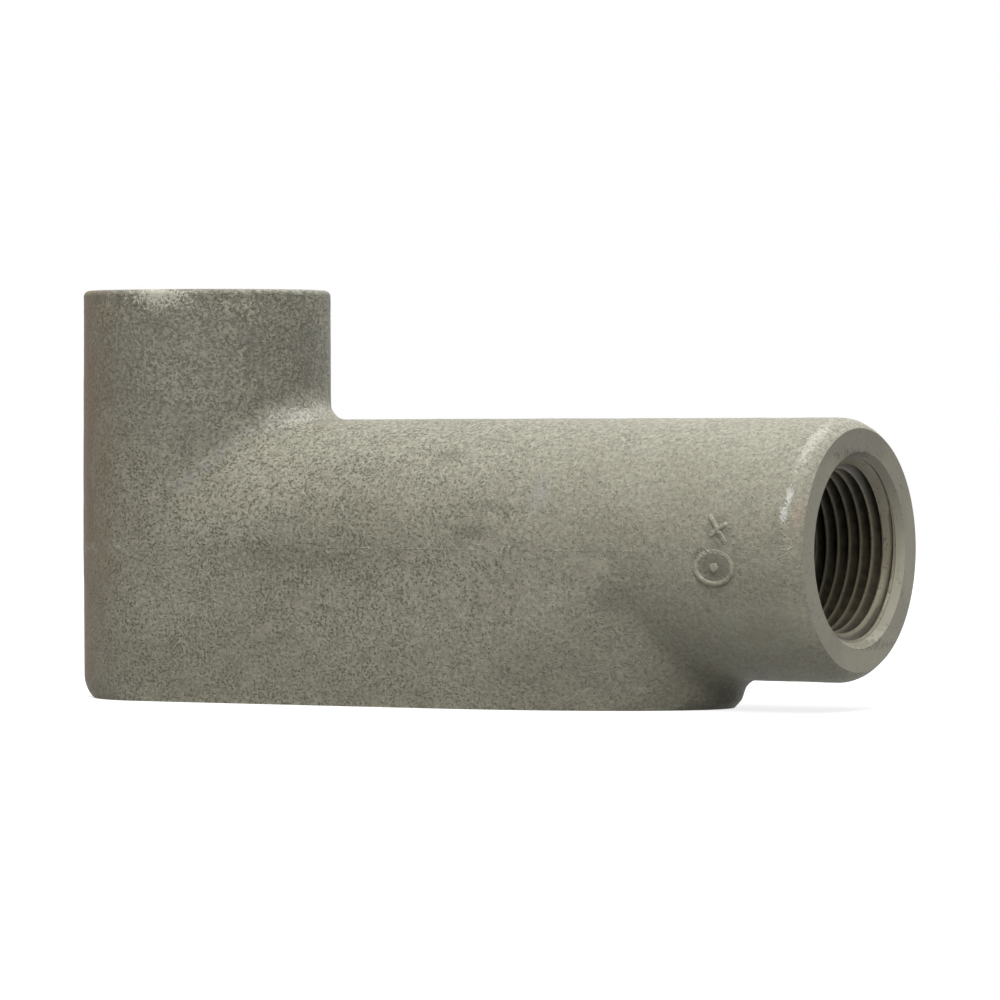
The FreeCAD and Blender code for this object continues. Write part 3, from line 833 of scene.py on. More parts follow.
@dataclass
class Refiner:
    """Splits coarse triangles along the true curved surface that their directions describe."""

    points: list[Vector]
    facets: list[Facet]
    cast_side: float = 1.5
    tolerance: float = 0.012
    passes: int = 5
    crease: float = 0.97

    def run(self) -> None:
        """Split until the cast skin is fine and every surface is round."""
        for _ in range(self.passes):
            middles = self.middles()
            if not middles:
                return
            self.facets = [part for facet in self.facets for part in self.split(facet, middles)]

    def middles(self) -> dict[tuple[int, int], int]:
        """Put a new point on the surface over each side that is too long or too flat.

        Returns:
            The new point's number for each side.
        """
        sides: dict[tuple[int, int], list[tuple[Vector, Vector]]] = {}
        cast: set[tuple[int, int]] = set()
        for facet in self.facets:
            for ends, normals in facet.sides():
                sides.setdefault(ends, []).append(normals)
                if facet.finish is Finish.CAST:
                    cast.add(ends)
        found = {}
        for ends, normals in sides.items():
            first, second = (self.points[number] for number in ends)
            rise = self.rise(second - first, normals)
            long_side = ends in cast and (second - first).length > self.cast_side
            if long_side or rise.length > self.tolerance:
                found[ends] = len(self.points)
                self.points.append((first + second) / 2 + rise)
        return found

    def rise(self, side: Vector, normals: Sequence[tuple[Vector, Vector]]) -> Vector:
        """Tell how far the surface's curve stands off the middle of a straight side.

        Args:
            side: The way from the side's first end to its second.
            normals: The directions at both ends, for each surface that meets at the side.

        Returns:
            The offset.
        """
        middles = [(first + second).normalized() for first, second in normals]
        heights = [(second * side.dot(second) - first * side.dot(first)).dot(middle) / 8
                   for (first, second), middle in zip(normals, middles)]
        likeness = middles[0].dot(middles[-1])
        if abs(likeness) > self.crease:
            return middles[0] * (sum(heights) / len(heights))
        share = 1.0 - likeness ** 2
        return (middles[0] * (heights[0] - likeness * heights[-1])
                + middles[-1] * (heights[-1] - likeness * heights[0])) / share

    def split(self, facet: Facet, middles: dict[tuple[int, int], int]) -> Iterator[Facet]:
        """Split a triangle at the new points on its sides.

        Args:
            facet: The triangle.
            middles: The new points.

        Yields:
            The parts.
        """
        ring: list[tuple[int, Vector, bool]] = []
        for corner in range(3):
            after = (corner + 1) % 3
            ring.append((facet.points[corner], facet.normals[corner], False))
            ends = (facet.points[corner], facet.points[after])
            number = middles.get((min(ends), max(ends)))
            if number is not None:
                normal = (facet.normals[corner] + facet.normals[after]).normalized()
                ring.append((number, normal, True))
        for place in reversed(range(len(ring))):
            before, here, after = ring[place - 1], ring[place], ring[(place + 1) % len(ring)]
            if not here[2] and before[2] and after[2] and len(ring) > 4:
                yield self.part(facet, (before, here, after))
                ring.pop(place)
        starts = [place for place, entry in enumerate(ring) if entry[2]] or [0]
        if len(ring) == 4:
            start = min(starts, key=lambda place: self.gap(ring[place], ring[(place + 2) % 4]))
        else:
            start = starts[0]
        ring = ring[start:] + ring[:start]
        for place in range(1, len(ring) - 1):
            yield self.part(facet, (ring[0], ring[place], ring[place + 1]))

    def gap(self, first: tuple[int, Vector, bool], second: tuple[int, Vector, bool]) -> float:
        """Give the distance between two ring entries."""
        return (self.points[first[0]] - self.points[second[0]]).length

    def part(self, facet: Facet, corners: Sequence[tuple[int, Vector, bool]]) -> Facet:
        """Make a facet from three ring entries."""
        first, second, third = corners
        return Facet((first[0], second[0], third[0]), (first[1], second[1], third[1]), facet.finish)


@dataclass
class OutsideForms:
    """The casting's hub, barrel, trough and rim as formulas, to tell the true way that they face."""

    sizes: CastingSizes
    near: float = 0.006
    likeness: float = math.cos(math.radians(28.0))
    step: float = 0.01
    blend_passes: int = 3
    blend_slack: float = 0.05
    least_opening: float = 0.02

    def hub_gap(self, point: Vector) -> float:
        """Give how far a point stands outside the back hub."""
        return math.hypot(point.x, point.y) - self.sizes.hub_radius_at(point.z)

    def barrel_gap(self, point: Vector) -> float:
        """Give how far a point stands outside the barrel."""
        radius = math.hypot(point.y, point.z - self.sizes.parting_height)
        return radius - self.sizes.barrel_radius_at(point.x)

    def rim_gap(self, point: Vector) -> float:
        """Give how far a point stands above the back hub's face."""
        return point.z - self.sizes.height

    def trough_gap(self, point: Vector) -> float:
        """Give how far a point stands outside the trough: its side, or its half-oval nose.

        Args:
            point: A place in millimetres from the back hub's axis.

        Returns:
            The gap, which is negative inside.
        """
        sizes = self.sizes
        lean = sizes.foot_lean * sizes.foot_height / sizes.parting_height
        above_foot = (point.z - sizes.foot_height) / (sizes.parting_height - sizes.foot_height)
        rise = lean + (1.0 - lean) * above_foot
        top_centre = sizes.end_face - sizes.nose_top_setback
        base_centre = sizes.end_face - sizes.nose_base_setback
        drawn_in = (sizes.parting_height - point.z) * sizes.draft
        flare = (sizes.mouth_radius - sizes.hub_radius) / sizes.end_face
        top_width = sizes.hub_radius + flare * top_centre
        centre = base_centre + (top_centre - base_centre) * rise
        width = top_width - drawn_in
        reach = sizes.nose_base_reach + (top_width - sizes.nose_base_reach) * rise
        if point.x < centre:
            back_width = sizes.hub_radius - drawn_in
            return abs(point.y) - back_width - (width - back_width) * point.x / centre
        return (math.hypot((point.x - centre) / reach, point.y / width) - 1.0) * width

    def found_at(self, point: Vector) -> list[Vector]:
        """Give the outward direction of each form that a point lies on.

        Args:
            point: A place in millimetres from the back hub's axis.

        Returns:
            The directions, none where no form is near.
        """
        sizes = self.sizes
        gaps = [self.rim_gap]
        if point.z > sizes.parting_height or point.x < 0.0 and point.z > sizes.foot_height - self.step:
            gaps.append(self.hub_gap)
        if point.x > 0.0:
            gaps.append(self.barrel_gap)
        if point.x > 0.0 and sizes.foot_height - self.step < point.z < sizes.parting_height + self.step:
            gaps.append(self.trough_gap)
        found = []
        for gap in gaps:
            slope = Vector([
                (gap(point + axis * self.step) - gap(point - axis * self.step)) / (2 * self.step)
                for axis in (Vector((1, 0, 0)), Vector((0, 1, 0)), Vector((0, 0, 1)))])
            if abs(gap(point)) < self.near * slope.length:
                found.append(slope.normalized())
        return found

    def close_ledge(self, refiner: Refiner) -> None:
        """Bring the barrel's lower edge out flush with the trough's upper one.

        Args:
            refiner: The skin's triangles, before they are split.
        """
        for point in refiner.points:
            level = abs(point.z - self.sizes.parting_height) < self.near
            if level and point.x > 0.0 and abs(self.barrel_gap(point)) < self.near:
                point.y -= math.copysign(min(self.trough_gap(point), 0.0), point.y)

    def fill_saddle(self, refiner: Refiner) -> None:
        """Bring the corner between the back hub and the barrel out to its full round.

        Args:
            refiner: The skin's triangles, after they are split.
        """
        cast = {number for facet in refiner.facets if facet.finish is Finish.CAST for number in facet.points}
        for number in cast:
            for _ in range(self.blend_passes):
                refiner.points[number] += self.toward_saddle(refiner.points[number])

    def toward_saddle(self, point: Vector) -> Vector:
        """Tell how far a point lies short of a ball that rolls along the hub and the barrel.

        Args:
            point: A place in millimetres from the back hub's axis.

        Returns:
            The way out to the ball's surface.
        """
        size = self.sizes.saddle_round
        above = point.z - self.sizes.parting_height
        hub = self.hub_gap(point)
        barrel = self.barrel_gap(point)
        if min(point.x, above) < 0.0 or min(hub, barrel) < -self.blend_slack or max(hub, barrel) > size:
            return Vector()
        out_of_hub = Vector((point.x, point.y, 0.0)).normalized()
        out_of_barrel = Vector((0.0, point.y, above)).normalized()
        likeness = out_of_hub.dot(out_of_barrel)
        opening = 1.0 - likeness ** 2
        from_hub = size - hub - likeness * (size - barrel)
        from_barrel = size - barrel - likeness * (size - hub)
        if opening < self.least_opening or min(from_hub, from_barrel) <= 0.0:
            return Vector()
        reach = (out_of_hub * from_hub + out_of_barrel * from_barrel) / opening
        return reach * max(0.0, 1.0 - size / reach.length)

    def true_up(self, refiner: Refiner) -> None:
        """Give the corners of the cast skin the true directions, and join those that run on.

        Args:
            refiner: The skin's triangles, before they are split.
        """
        cast = [facet for facet in refiner.facets if facet.finish is Finish.CAST]
        true = {number: self.found_at(refiner.points[number]) for facet in cast for number in facet.points}
        meeting: dict[int, list[Vector]] = {}
        for facet in cast:
            for number, normal in zip(facet.points, facet.normals):
                meeting.setdefault(number, []).append(normal)
        for facet in cast:
            facet.normals = tuple(self.chosen(normal, true[number], meeting[number])
                                  for number, normal in zip(facet.points, facet.normals))

    def chosen(self, normal: Vector, true: Sequence[Vector], meeting: Sequence[Vector]) -> Vector:
        """Pick the true direction nearest to a rough one, or else the mean of its likes.

        Args:
            normal: The rough direction.
            true: The true directions at its point.
            meeting: All rough directions at its point.

        Returns:
            The direction.
        """
        likely = max(true, key=normal.dot, default=None)
        if likely is not None and likely.dot(normal) > self.likeness:
            return likely
        alike = (other for other in meeting if other.dot(normal) > self.likeness)
        return sum(alike, Vector()).normalized()


@dataclass
class CastingSkin:
    """The casting's own mesh, made round where it is curved, and given the sand's unevenness."""

    sizes: CastingSizes
    materials: Sequence[bpy.types.Material]
    weld: float = 0.002
    crease_angle: float = math.radians(14.0)
    level_share: float = 0.9
    unthreaded_bore: float = 7.0
    wide_size: float = 7.0
    wide_depth: float = 0.045
    small_size: float = 2.4
    small_depth: float = 0.03
    grain_detail: float = 1.5
    easing_steps: int = 3

    def build(self) -> bpy.types.Object:
        """Build the skin.

        Returns:
            The finished piece.
        """
        refiner = self.read_node()
        forms = OutsideForms(self.sizes)
        forms.true_up(refiner)
        forms.close_ledge(refiner)
        log.info("casting skin: %d facets to refine", len(refiner.facets))
        refiner.run()
        forms.fill_saddle(refiner)
        for point in refiner.points:
            point.z = min(max(point.z, 0.0), self.sizes.height)
        mesh = self.write_mesh(refiner)
        for material in self.materials:
            mesh.materials.append(material)
        skin = bpy.data.objects.new("casting_skin", mesh)
        bpy.context.scene.collection.objects.link(skin)
        self.lay_sand(skin)
        return skin

    def heart(self, point: Vector) -> Vector:
        """Give the nearest point of the hollow's middle: trough plane, barrel axis or hub axis.

        Args:
            point: A place in millimetres from the back hub's axis.

        Returns:
            The nearest point.
        """
        parting = self.sizes.parting_height
        trough = Vector((min(max(point.x, 0.0), self.sizes.nose_centre), 0.0,
                         min(max(point.z, 0.0), parting)))
        barrel = Vector((min(max(point.x, 0.0), self.sizes.end_face), 0.0, parting))
        hub = Vector((0.0, 0.0, min(max(point.z, parting), self.sizes.height)))
        return min((trough, barrel, hub), key=lambda place: (point - place).length_squared)

    def finish_of(self, centre: Vector, normal: Vector) -> Finish:
        """Tell which finish a face has.

        Args:
            centre: The face's middle, in millimetres from the back hub's axis.
            normal: The face's outward direction.

        Returns:
            The finish.
        """
        sizes = self.sizes
        near = 0.02
        flat = 0.999
        if abs(centre.z) < near and normal.z < -flat:
            return Finish.FACED
        in_end_bore = math.hypot(centre.y, centre.z - sizes.parting_height) < sizes.countersink_radius
        in_back_bore = math.hypot(centre.x, centre.y) < sizes.countersink_radius
        end_depth = sizes.end_face - centre.x
        back_depth = sizes.height - centre.z
        if end_depth < near and normal.x > flat or in_end_bore and end_depth < sizes.countersink_depth:
            return Finish.FACED
        if back_depth < near and normal.z > flat or in_back_bore and back_depth < sizes.countersink_depth:
            return Finish.FACED
        bore_depth = sizes.countersink_depth + sizes.thread_wall + self.unthreaded_bore
        if in_end_bore and end_depth < bore_depth or in_back_bore and back_depth < bore_depth:
            return Finish.BORED
        if (centre - self.heart(centre)).dot(normal) > 0.0:
            return Finish.CAST
        return Finish.HOLLOW

    def read_node(self) -> Refiner:
        """Take the node's triangles, weld their points, and tell each one's finish.

        Returns:
            The triangles, ready to be refined.
        """
        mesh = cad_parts[NODE].data
        places: dict[tuple[int, int, int], int] = {}
        points: list[Vector] = []
        numbers = []
        for vertex in mesh.vertices:
            point = self.sizes.from_row(vertex.co)
            key = tuple(round(value / self.weld) for value in point)
            if key not in places:
                places[key] = len(points)
                points.append(point)
            numbers.append(places[key])
        facets = []
        mesh.calc_loop_triangles()
        for triangle in mesh.loop_triangles:
            corners = tuple(numbers[number] for number in triangle.vertices)
            if len(set(corners)) < 3:
                continue
            normals = tuple(mesh.corner_normals[loop].vector.copy() for loop in triangle.loops)
            centre = (points[corners[0]] + points[corners[1]] + points[corners[2]]) / 3
            facets.append(Facet(corners, normals, self.finish_of(centre, triangle.normal)))
        return Refiner(points, facets)

    def write_mesh(self, refiner: Refiner) -> bpy.types.Mesh:
        """Make a mesh of the refined facets, with creases where surfaces meet at an angle.

        Args:
            refiner: The skin's triangles.

        Returns:
            The mesh, with the mask and the directions that the sand follows.
        """
        mesh = bpy.data.meshes.new("casting_skin")
        mesh.from_pydata([self.sizes.to_row(point) for point in refiner.points], [],
                         [facet.points for facet in refiner.facets])
        mesh.polygons.foreach_set("material_index", [facet.finish.value for facet in refiner.facets])
        mesh.polygons.foreach_set("use_smooth", [True] * len(refiner.facets))
        meeting: dict[tuple[int, int], list[tuple[Vector, Vector]]] = {}
        finishes: list[set[Finish]] = [set() for _ in refiner.points]
        for facet in refiner.facets:
            for ends, normals in facet.sides():
                meeting.setdefault(ends, []).append(normals)
            for number in facet.points:
                finishes[number].add(facet.finish)
        directions = [Vector() for _ in refiner.points]
        for facet in refiner.facets:
            for number, normal in zip(facet.points, facet.normals):
                on_ledge = abs(normal.z) > self.level_share and self.at_parting(refiner.points[number])
                if facet.finish is Finish.CAST and not on_ledge:
                    directions[number] += normal
        skin_direction = mesh.attributes.new(SKIN_DIRECTION, "FLOAT_VECTOR", "POINT")
        skin_direction.data.foreach_set(
            "vector", [value for direction in directions for value in direction.normalized()])
        creases = mesh.attributes.new("sharp_edge", "BOOLEAN", "EDGE")
        creased: set[int] = set()
        for edge in mesh.edges:
            first, second = edge.vertices
            normals = meeting[(min(first, second), max(first, second))]
            turns = (a.angle(b, 0.0) for a, b in zip(normals[0], normals[-1]))
            if max(turns) > self.crease_angle:
                creases.data[edge.index].value = True
                if not all(self.at_parting(refiner.points[number]) for number in (first, second)):
                    creased.update((first, second))
        mask = mesh.attributes.new(CAST_MASK, "FLOAT", "POINT")
        mask.data.foreach_set("value", [float(found == {Finish.CAST} and number not in creased)
                                        for number, found in enumerate(finishes)])
        return mesh

    def at_parting(self, point: Vector) -> bool:
        """Tell whether a point lies where the barrel meets the trough's side."""
        return abs(point.z - self.sizes.parting_height) < self.weld and point.x > 0.0

    def sand_tree(self) -> bpy.types.NodeTree:
        """Build the Geometry Nodes tree that lets the cast skin sink unevenly below its true face.

        Returns:
            The tree.
        """
        tree = bpy.data.node_groups.new("sand skin", "GeometryNodeTree")
        tree.interface.new_socket("Geometry", in_out="INPUT", socket_type="NodeSocketGeometry")
        for label in ("Wide Size", "Wide Depth", "Small Size", "Small Depth", "Seed"):
            tree.interface.new_socket(label, in_out="INPUT", socket_type="NodeSocketFloat")
        tree.interface.new_socket("Geometry", in_out="OUTPUT", socket_type="NodeSocketGeometry")
        graph = Graph(tree)
        given = graph.node("NodeGroupInput")
        place = graph.node("GeometryNodeInputPosition").outputs[0]
        sunk = None
        for size, depth, shift in (("Wide Size", "Wide Depth", 0.0), ("Small Size", "Small Depth", 4.0)):
            texture = graph.node("ShaderNodeTexNoise", noise_dimensions="4D")
            graph.feed(texture.inputs["Vector"], place)
            graph.feed(texture.inputs["Scale"], graph.math("DIVIDE", 1.0, given.outputs[size]))
            graph.feed(texture.inputs["W"], graph.math("ADD", given.outputs["Seed"], shift))
            texture.inputs["Detail"].default_value = self.grain_detail
            share = graph.step(texture.outputs[0], 0.3, 0.7)
            amount = graph.math("MULTIPLY", share, given.outputs[depth])
            sunk = amount if sunk is None else graph.math("ADD", sunk, amount)
        mask = graph.node("GeometryNodeInputNamedAttribute", data_type="FLOAT")
        mask.inputs["Name"].default_value = CAST_MASK
        eased = graph.node("GeometryNodeBlurAttribute", data_type="FLOAT")
        graph.feed(eased.inputs["Value"], mask.outputs["Attribute"])
        eased.inputs["Iterations"].default_value = self.easing_steps
        share = graph.math("MULTIPLY", mask.outputs["Attribute"], eased.outputs["Value"])
        inward = graph.math("MULTIPLY", graph.math("MULTIPLY", sunk, share), -1.0)
        facing = graph.node("GeometryNodeInputNamedAttribute", data_type="FLOAT_VECTOR")
        facing.inputs["Name"].default_value = SKIN_DIRECTION
        moved = graph.node("GeometryNodeSetPosition")
        graph.feed(moved.inputs["Geometry"], given.outputs["Geometry"])
        graph.feed(moved.inputs["Offset"], graph.scale(facing.outputs["Attribute"], inward))
        out = graph.node("NodeGroupOutput")
        graph.feed(out.inputs["Geometry"], moved.outputs["Geometry"])
        return tree

    def lay_sand(self, skin: bpy.types.Object) -> None:
        """Sink the cast skin by the sand's unevenness and keep the result as a plain mesh.

        Args:
            skin: The casting's piece.
        """
        bake_nodes(skin, self.sand_tree(), {
            "Wide Size": self.wide_size * MILLIMETRE, "Wide Depth": self.wide_depth * MILLIMETRE,
            "Small Size": self.small_size * MILLIMETRE, "Small Depth": self.small_depth * MILLIMETRE,
            "Seed": 2.0})


def bake_nodes(piece: bpy.types.Object, tree: bpy.types.NodeTree, values: dict[str, object]) -> None:
    """Run a Geometry Nodes tree on a piece and put the result in place of its mesh.

    Args:
        piece: The object.
        tree: The tree.
        values: The modifier's inputs by name.
    """
    modifier = piece.modifiers.new(tree.name, "NODES")
    modifier.node_group = tree
    for item in tree.interface.items_tree:
        if item.item_type == "SOCKET" and item.in_out == "INPUT" and item.name in values:
            modifier[item.identifier] = values[item.name]
    graph = bpy.context.evaluated_depsgraph_get()
    made = bpy.data.meshes.new_from_object(piece.evaluated_get(graph), depsgraph=graph)
    piece.modifiers.clear()
    piece.data = made
    made.name = piece.name


@dataclass
class PipeThread:
    """The taper pipe thread of one hub, as a ridge that winds out of the bore's wall."""

    name: str
    material: bpy.types.Material
    sizes: CastingSizes
    placing: Matrix
    pitch: float = 25.4 / 14
    ridge_height: float = 1.45
    crest: float = 0.16
    bedding: float = 0.55
    taper: float = 1 / 32
    sink: float = 0.04
    flank_angle: float = math.radians(30.0)
    flank_cuts: int = 4
    wear_and_highlight_reach: float = 0.35
    cut_wear_and_highlight: float = 0.85
    steps: int = 72
    weld: float = 0.0005
    crease_angle: float = math.radians(35.0)

    @property
    def length(self) -> float:
        """Give how far the ridge's middle travels along the bore."""
        return self.sizes.thread_wall

    def tree(self) -> bpy.types.NodeTree:
        """Build the Geometry Nodes tree: a ridge along a spiral, cut back by the countersink.

        Returns:
            The tree.
        """
        tree = bpy.data.node_groups.new("pipe thread", "GeometryNodeTree")
        for label in ("Turns", "Mouth Radius", "Inner Radius", "Length", "Ridge Height",
                      "Crest", "Bedding", "Countersink Radius", "Countersink Slope", "First Depth", "Sink"):
            tree.interface.new_socket(label, in_out="INPUT", socket_type="NodeSocketFloat")
        tree.interface.new_socket("Steps", in_out="INPUT", socket_type="NodeSocketInt")
        tree.interface.new_socket("Material", in_out="INPUT", socket_type="NodeSocketMaterial")
        tree.interface.new_socket("Geometry", in_out="OUTPUT", socket_type="NodeSocketGeometry")
        graph = Graph(tree)
        given = graph.node("NodeGroupInput").outputs
        spiral = graph.node("GeometryNodeCurveSpiral")
        graph.feed(spiral.inputs["Resolution"], given["Steps"])
        graph.feed(spiral.inputs["Rotations"], given["Turns"])
        graph.feed(spiral.inputs["Start Radius"], given["Inner Radius"])
        graph.feed(spiral.inputs["End Radius"], given["Mouth Radius"])
        graph.feed(spiral.inputs["Height"], given["Length"])
        spiral.inputs["Reverse"].default_value = True
        upright = graph.node("GeometryNodeSetCurveNormal", mode="Z_UP")
        graph.feed(upright.inputs["Curve"], spiral.outputs["Curve"])
        deep = graph.math("ADD", given["Ridge Height"], given["Bedding"])
        spread = 2.0 * math.tan(self.flank_angle)
        base = graph.math("ADD", given["Crest"], graph.math("MULTIPLY", deep, spread))
        profile = graph.node("GeometryNodeCurvePrimitiveQuadrilateral", mode="TRAPEZOID")
        graph.feed(profile.inputs["Bottom Width"], base)
        graph.feed(profile.inputs["Top Width"], given["Crest"])
        profile.inputs["Offset"].default_value = 0.0
        graph.feed(profile.inputs["Height"], deep)
        divided = graph.node("GeometryNodeSubdivideCurve")
        graph.feed(divided.inputs["Curve"], profile.outputs["Curve"])
        divided.inputs["Cuts"].default_value = self.flank_cuts
        lifted = graph.node("GeometryNodeTransform")
        graph.feed(lifted.inputs["Geometry"], divided.outputs["Curve"])
        lift = graph.node("ShaderNodeCombineXYZ")
        middle = graph.math("MULTIPLY", deep, 0.5)
        graph.feed(lift.inputs["Y"], graph.math("SUBTRACT", middle, given["Bedding"]))
        graph.feed(lifted.inputs["Translation"], lift.outputs[0])
        turned = graph.node("GeometryNodeTransform")
        graph.feed(turned.inputs["Geometry"], lifted.outputs["Geometry"])
        turned.inputs["Rotation"].default_value = (0.0, 0.0, math.radians(90.0))
        swept = graph.node("GeometryNodeCurveToMesh")
        graph.feed(swept.inputs["Curve"], upright.outputs["Curve"])
        graph.feed(swept.inputs["Profile Curve"], turned.outputs["Geometry"])
        swept.inputs["Fill Caps"].default_value = True
        cut = self.countersink(graph, given, swept.outputs["Mesh"])
        painted = graph.node("GeometryNodeSetMaterial")
        graph.feed(painted.inputs["Geometry"], cut)
        graph.feed(painted.inputs["Material"], given["Material"])
        out = graph.node("NodeGroupOutput")
        graph.feed(out.inputs["Geometry"], painted.outputs["Geometry"])
        return tree

    def countersink(self, graph: Graph, given: bpy.types.NodeOutputs,
                    ridge: bpy.types.NodeSocket) -> bpy.types.NodeSocket:
        """Push what stands in the countersink's cone, or out of the mouth, into the metal round it.

        Args:
            graph: The tree under construction.
            given: The group's inputs.
            ridge: The ridge's mesh.

        Returns:
            The cut ridge.
        """
        place = graph.node("GeometryNodeInputPosition").outputs[0]
        radius = graph.length(graph.vector_math("MULTIPLY", place, (1.0, 1.0, 0.0)))
        below = graph.math("SUBTRACT", given["Length"], graph.axes(place)["Z"])
        depth = graph.math("ADD", below, given["First Depth"])
        kept_depth = graph.math("MAXIMUM", depth, given["Sink"])
        cone = graph.math("SUBTRACT", given["Countersink Radius"],
                          graph.math("MULTIPLY", kept_depth, given["Countersink Slope"]))
        wanted = graph.math("MAXIMUM", radius, graph.math("ADD", cone, given["Sink"]))
        scale = graph.math("DIVIDE", wanted, radius)
        stretch = graph.node("ShaderNodeCombineXYZ")
        graph.feed(stretch.inputs["X"], scale)
        graph.feed(stretch.inputs["Y"], scale)
        stretch.inputs["Z"].default_value = 1.0
        moved = graph.node("GeometryNodeSetPosition")
        graph.feed(moved.inputs["Geometry"], ridge)
        graph.feed(moved.inputs["Position"], graph.vector_math("MULTIPLY", place, stretch.outputs[0]))
        drop = graph.node("ShaderNodeCombineXYZ")
        graph.feed(drop.inputs["Z"], graph.math("SUBTRACT", depth, kept_depth))
        graph.feed(moved.inputs["Offset"], drop.outputs[0])
        return moved.outputs["Geometry"]

    def build(self) -> bpy.types.Object:
        """Build the thread and set it in its hub.

        Returns:
            The finished piece.
        """
        sizes = self.sizes
        first_depth = -self.pitch / 2
        mouth = sizes.thread_root_radius + self.taper * (sizes.countersink_depth - first_depth)
        slope = (sizes.countersink_radius - sizes.thread_root_radius) / sizes.countersink_depth
        thread = bpy.data.objects.new(self.name, bpy.data.meshes.new(self.name))
        bpy.context.scene.collection.objects.link(thread)
        bake_nodes(thread, self.tree(), {
            "Turns": self.length / self.pitch, "Mouth Radius": mouth,
            "Inner Radius": mouth - self.taper * self.length, "Length": self.length,
            "Ridge Height": self.ridge_height, "Crest": self.crest, "Bedding": self.bedding,
            "Countersink Radius": sizes.countersink_radius, "Countersink Slope": slope,
            "First Depth": first_depth, "Sink": self.sink, "Steps": self.steps,
            "Material": self.material})
        built = bmesh.new()
        built.from_mesh(thread.data)
        # Mark how far each point is lightened on the crests and at the countersink's cut: wear, with a
        # painted highlight.
        wear_and_highlight = built.verts.layers.float.new(CREST_WEAR_AND_HIGHLIGHT)
        for vertex in built.verts:
            depth = self.length - vertex.co.z + first_depth
            radius = vertex.co.xy.length
            crest = mouth - self.taper * (depth - first_depth) - self.ridge_height
            cone = sizes.countersink_radius - slope * depth + self.sink
            cut = self.cut_wear_and_highlight * (abs(radius - cone) < self.sink / 2)
            vertex[wear_and_highlight] = max(cut, min(max(1.0 - (radius - crest) / self.wear_and_highlight_reach, 0.0), 1.0))
        built.transform(self.placing)
        for vertex in built.verts:
            vertex.co = sizes.to_row(vertex.co)
        bmesh.ops.remove_doubles(built, verts=built.verts, dist=self.weld * MILLIMETRE)
        bmesh.ops.recalc_face_normals(built, faces=built.faces)
        # The folds at the countersink can mislead the recalculation, so the volume has the last word.
        if built.calc_volume(signed=True) < 0.0:
            bmesh.ops.reverse_faces(built, faces=built.faces)
        for face in built.faces:
            face.smooth = True
        for edge in built.edges:
            edge.smooth = edge.calc_face_angle(math.pi) < self.crease_angle
        built.to_mesh(thread.data)
        built.free()
        return thread


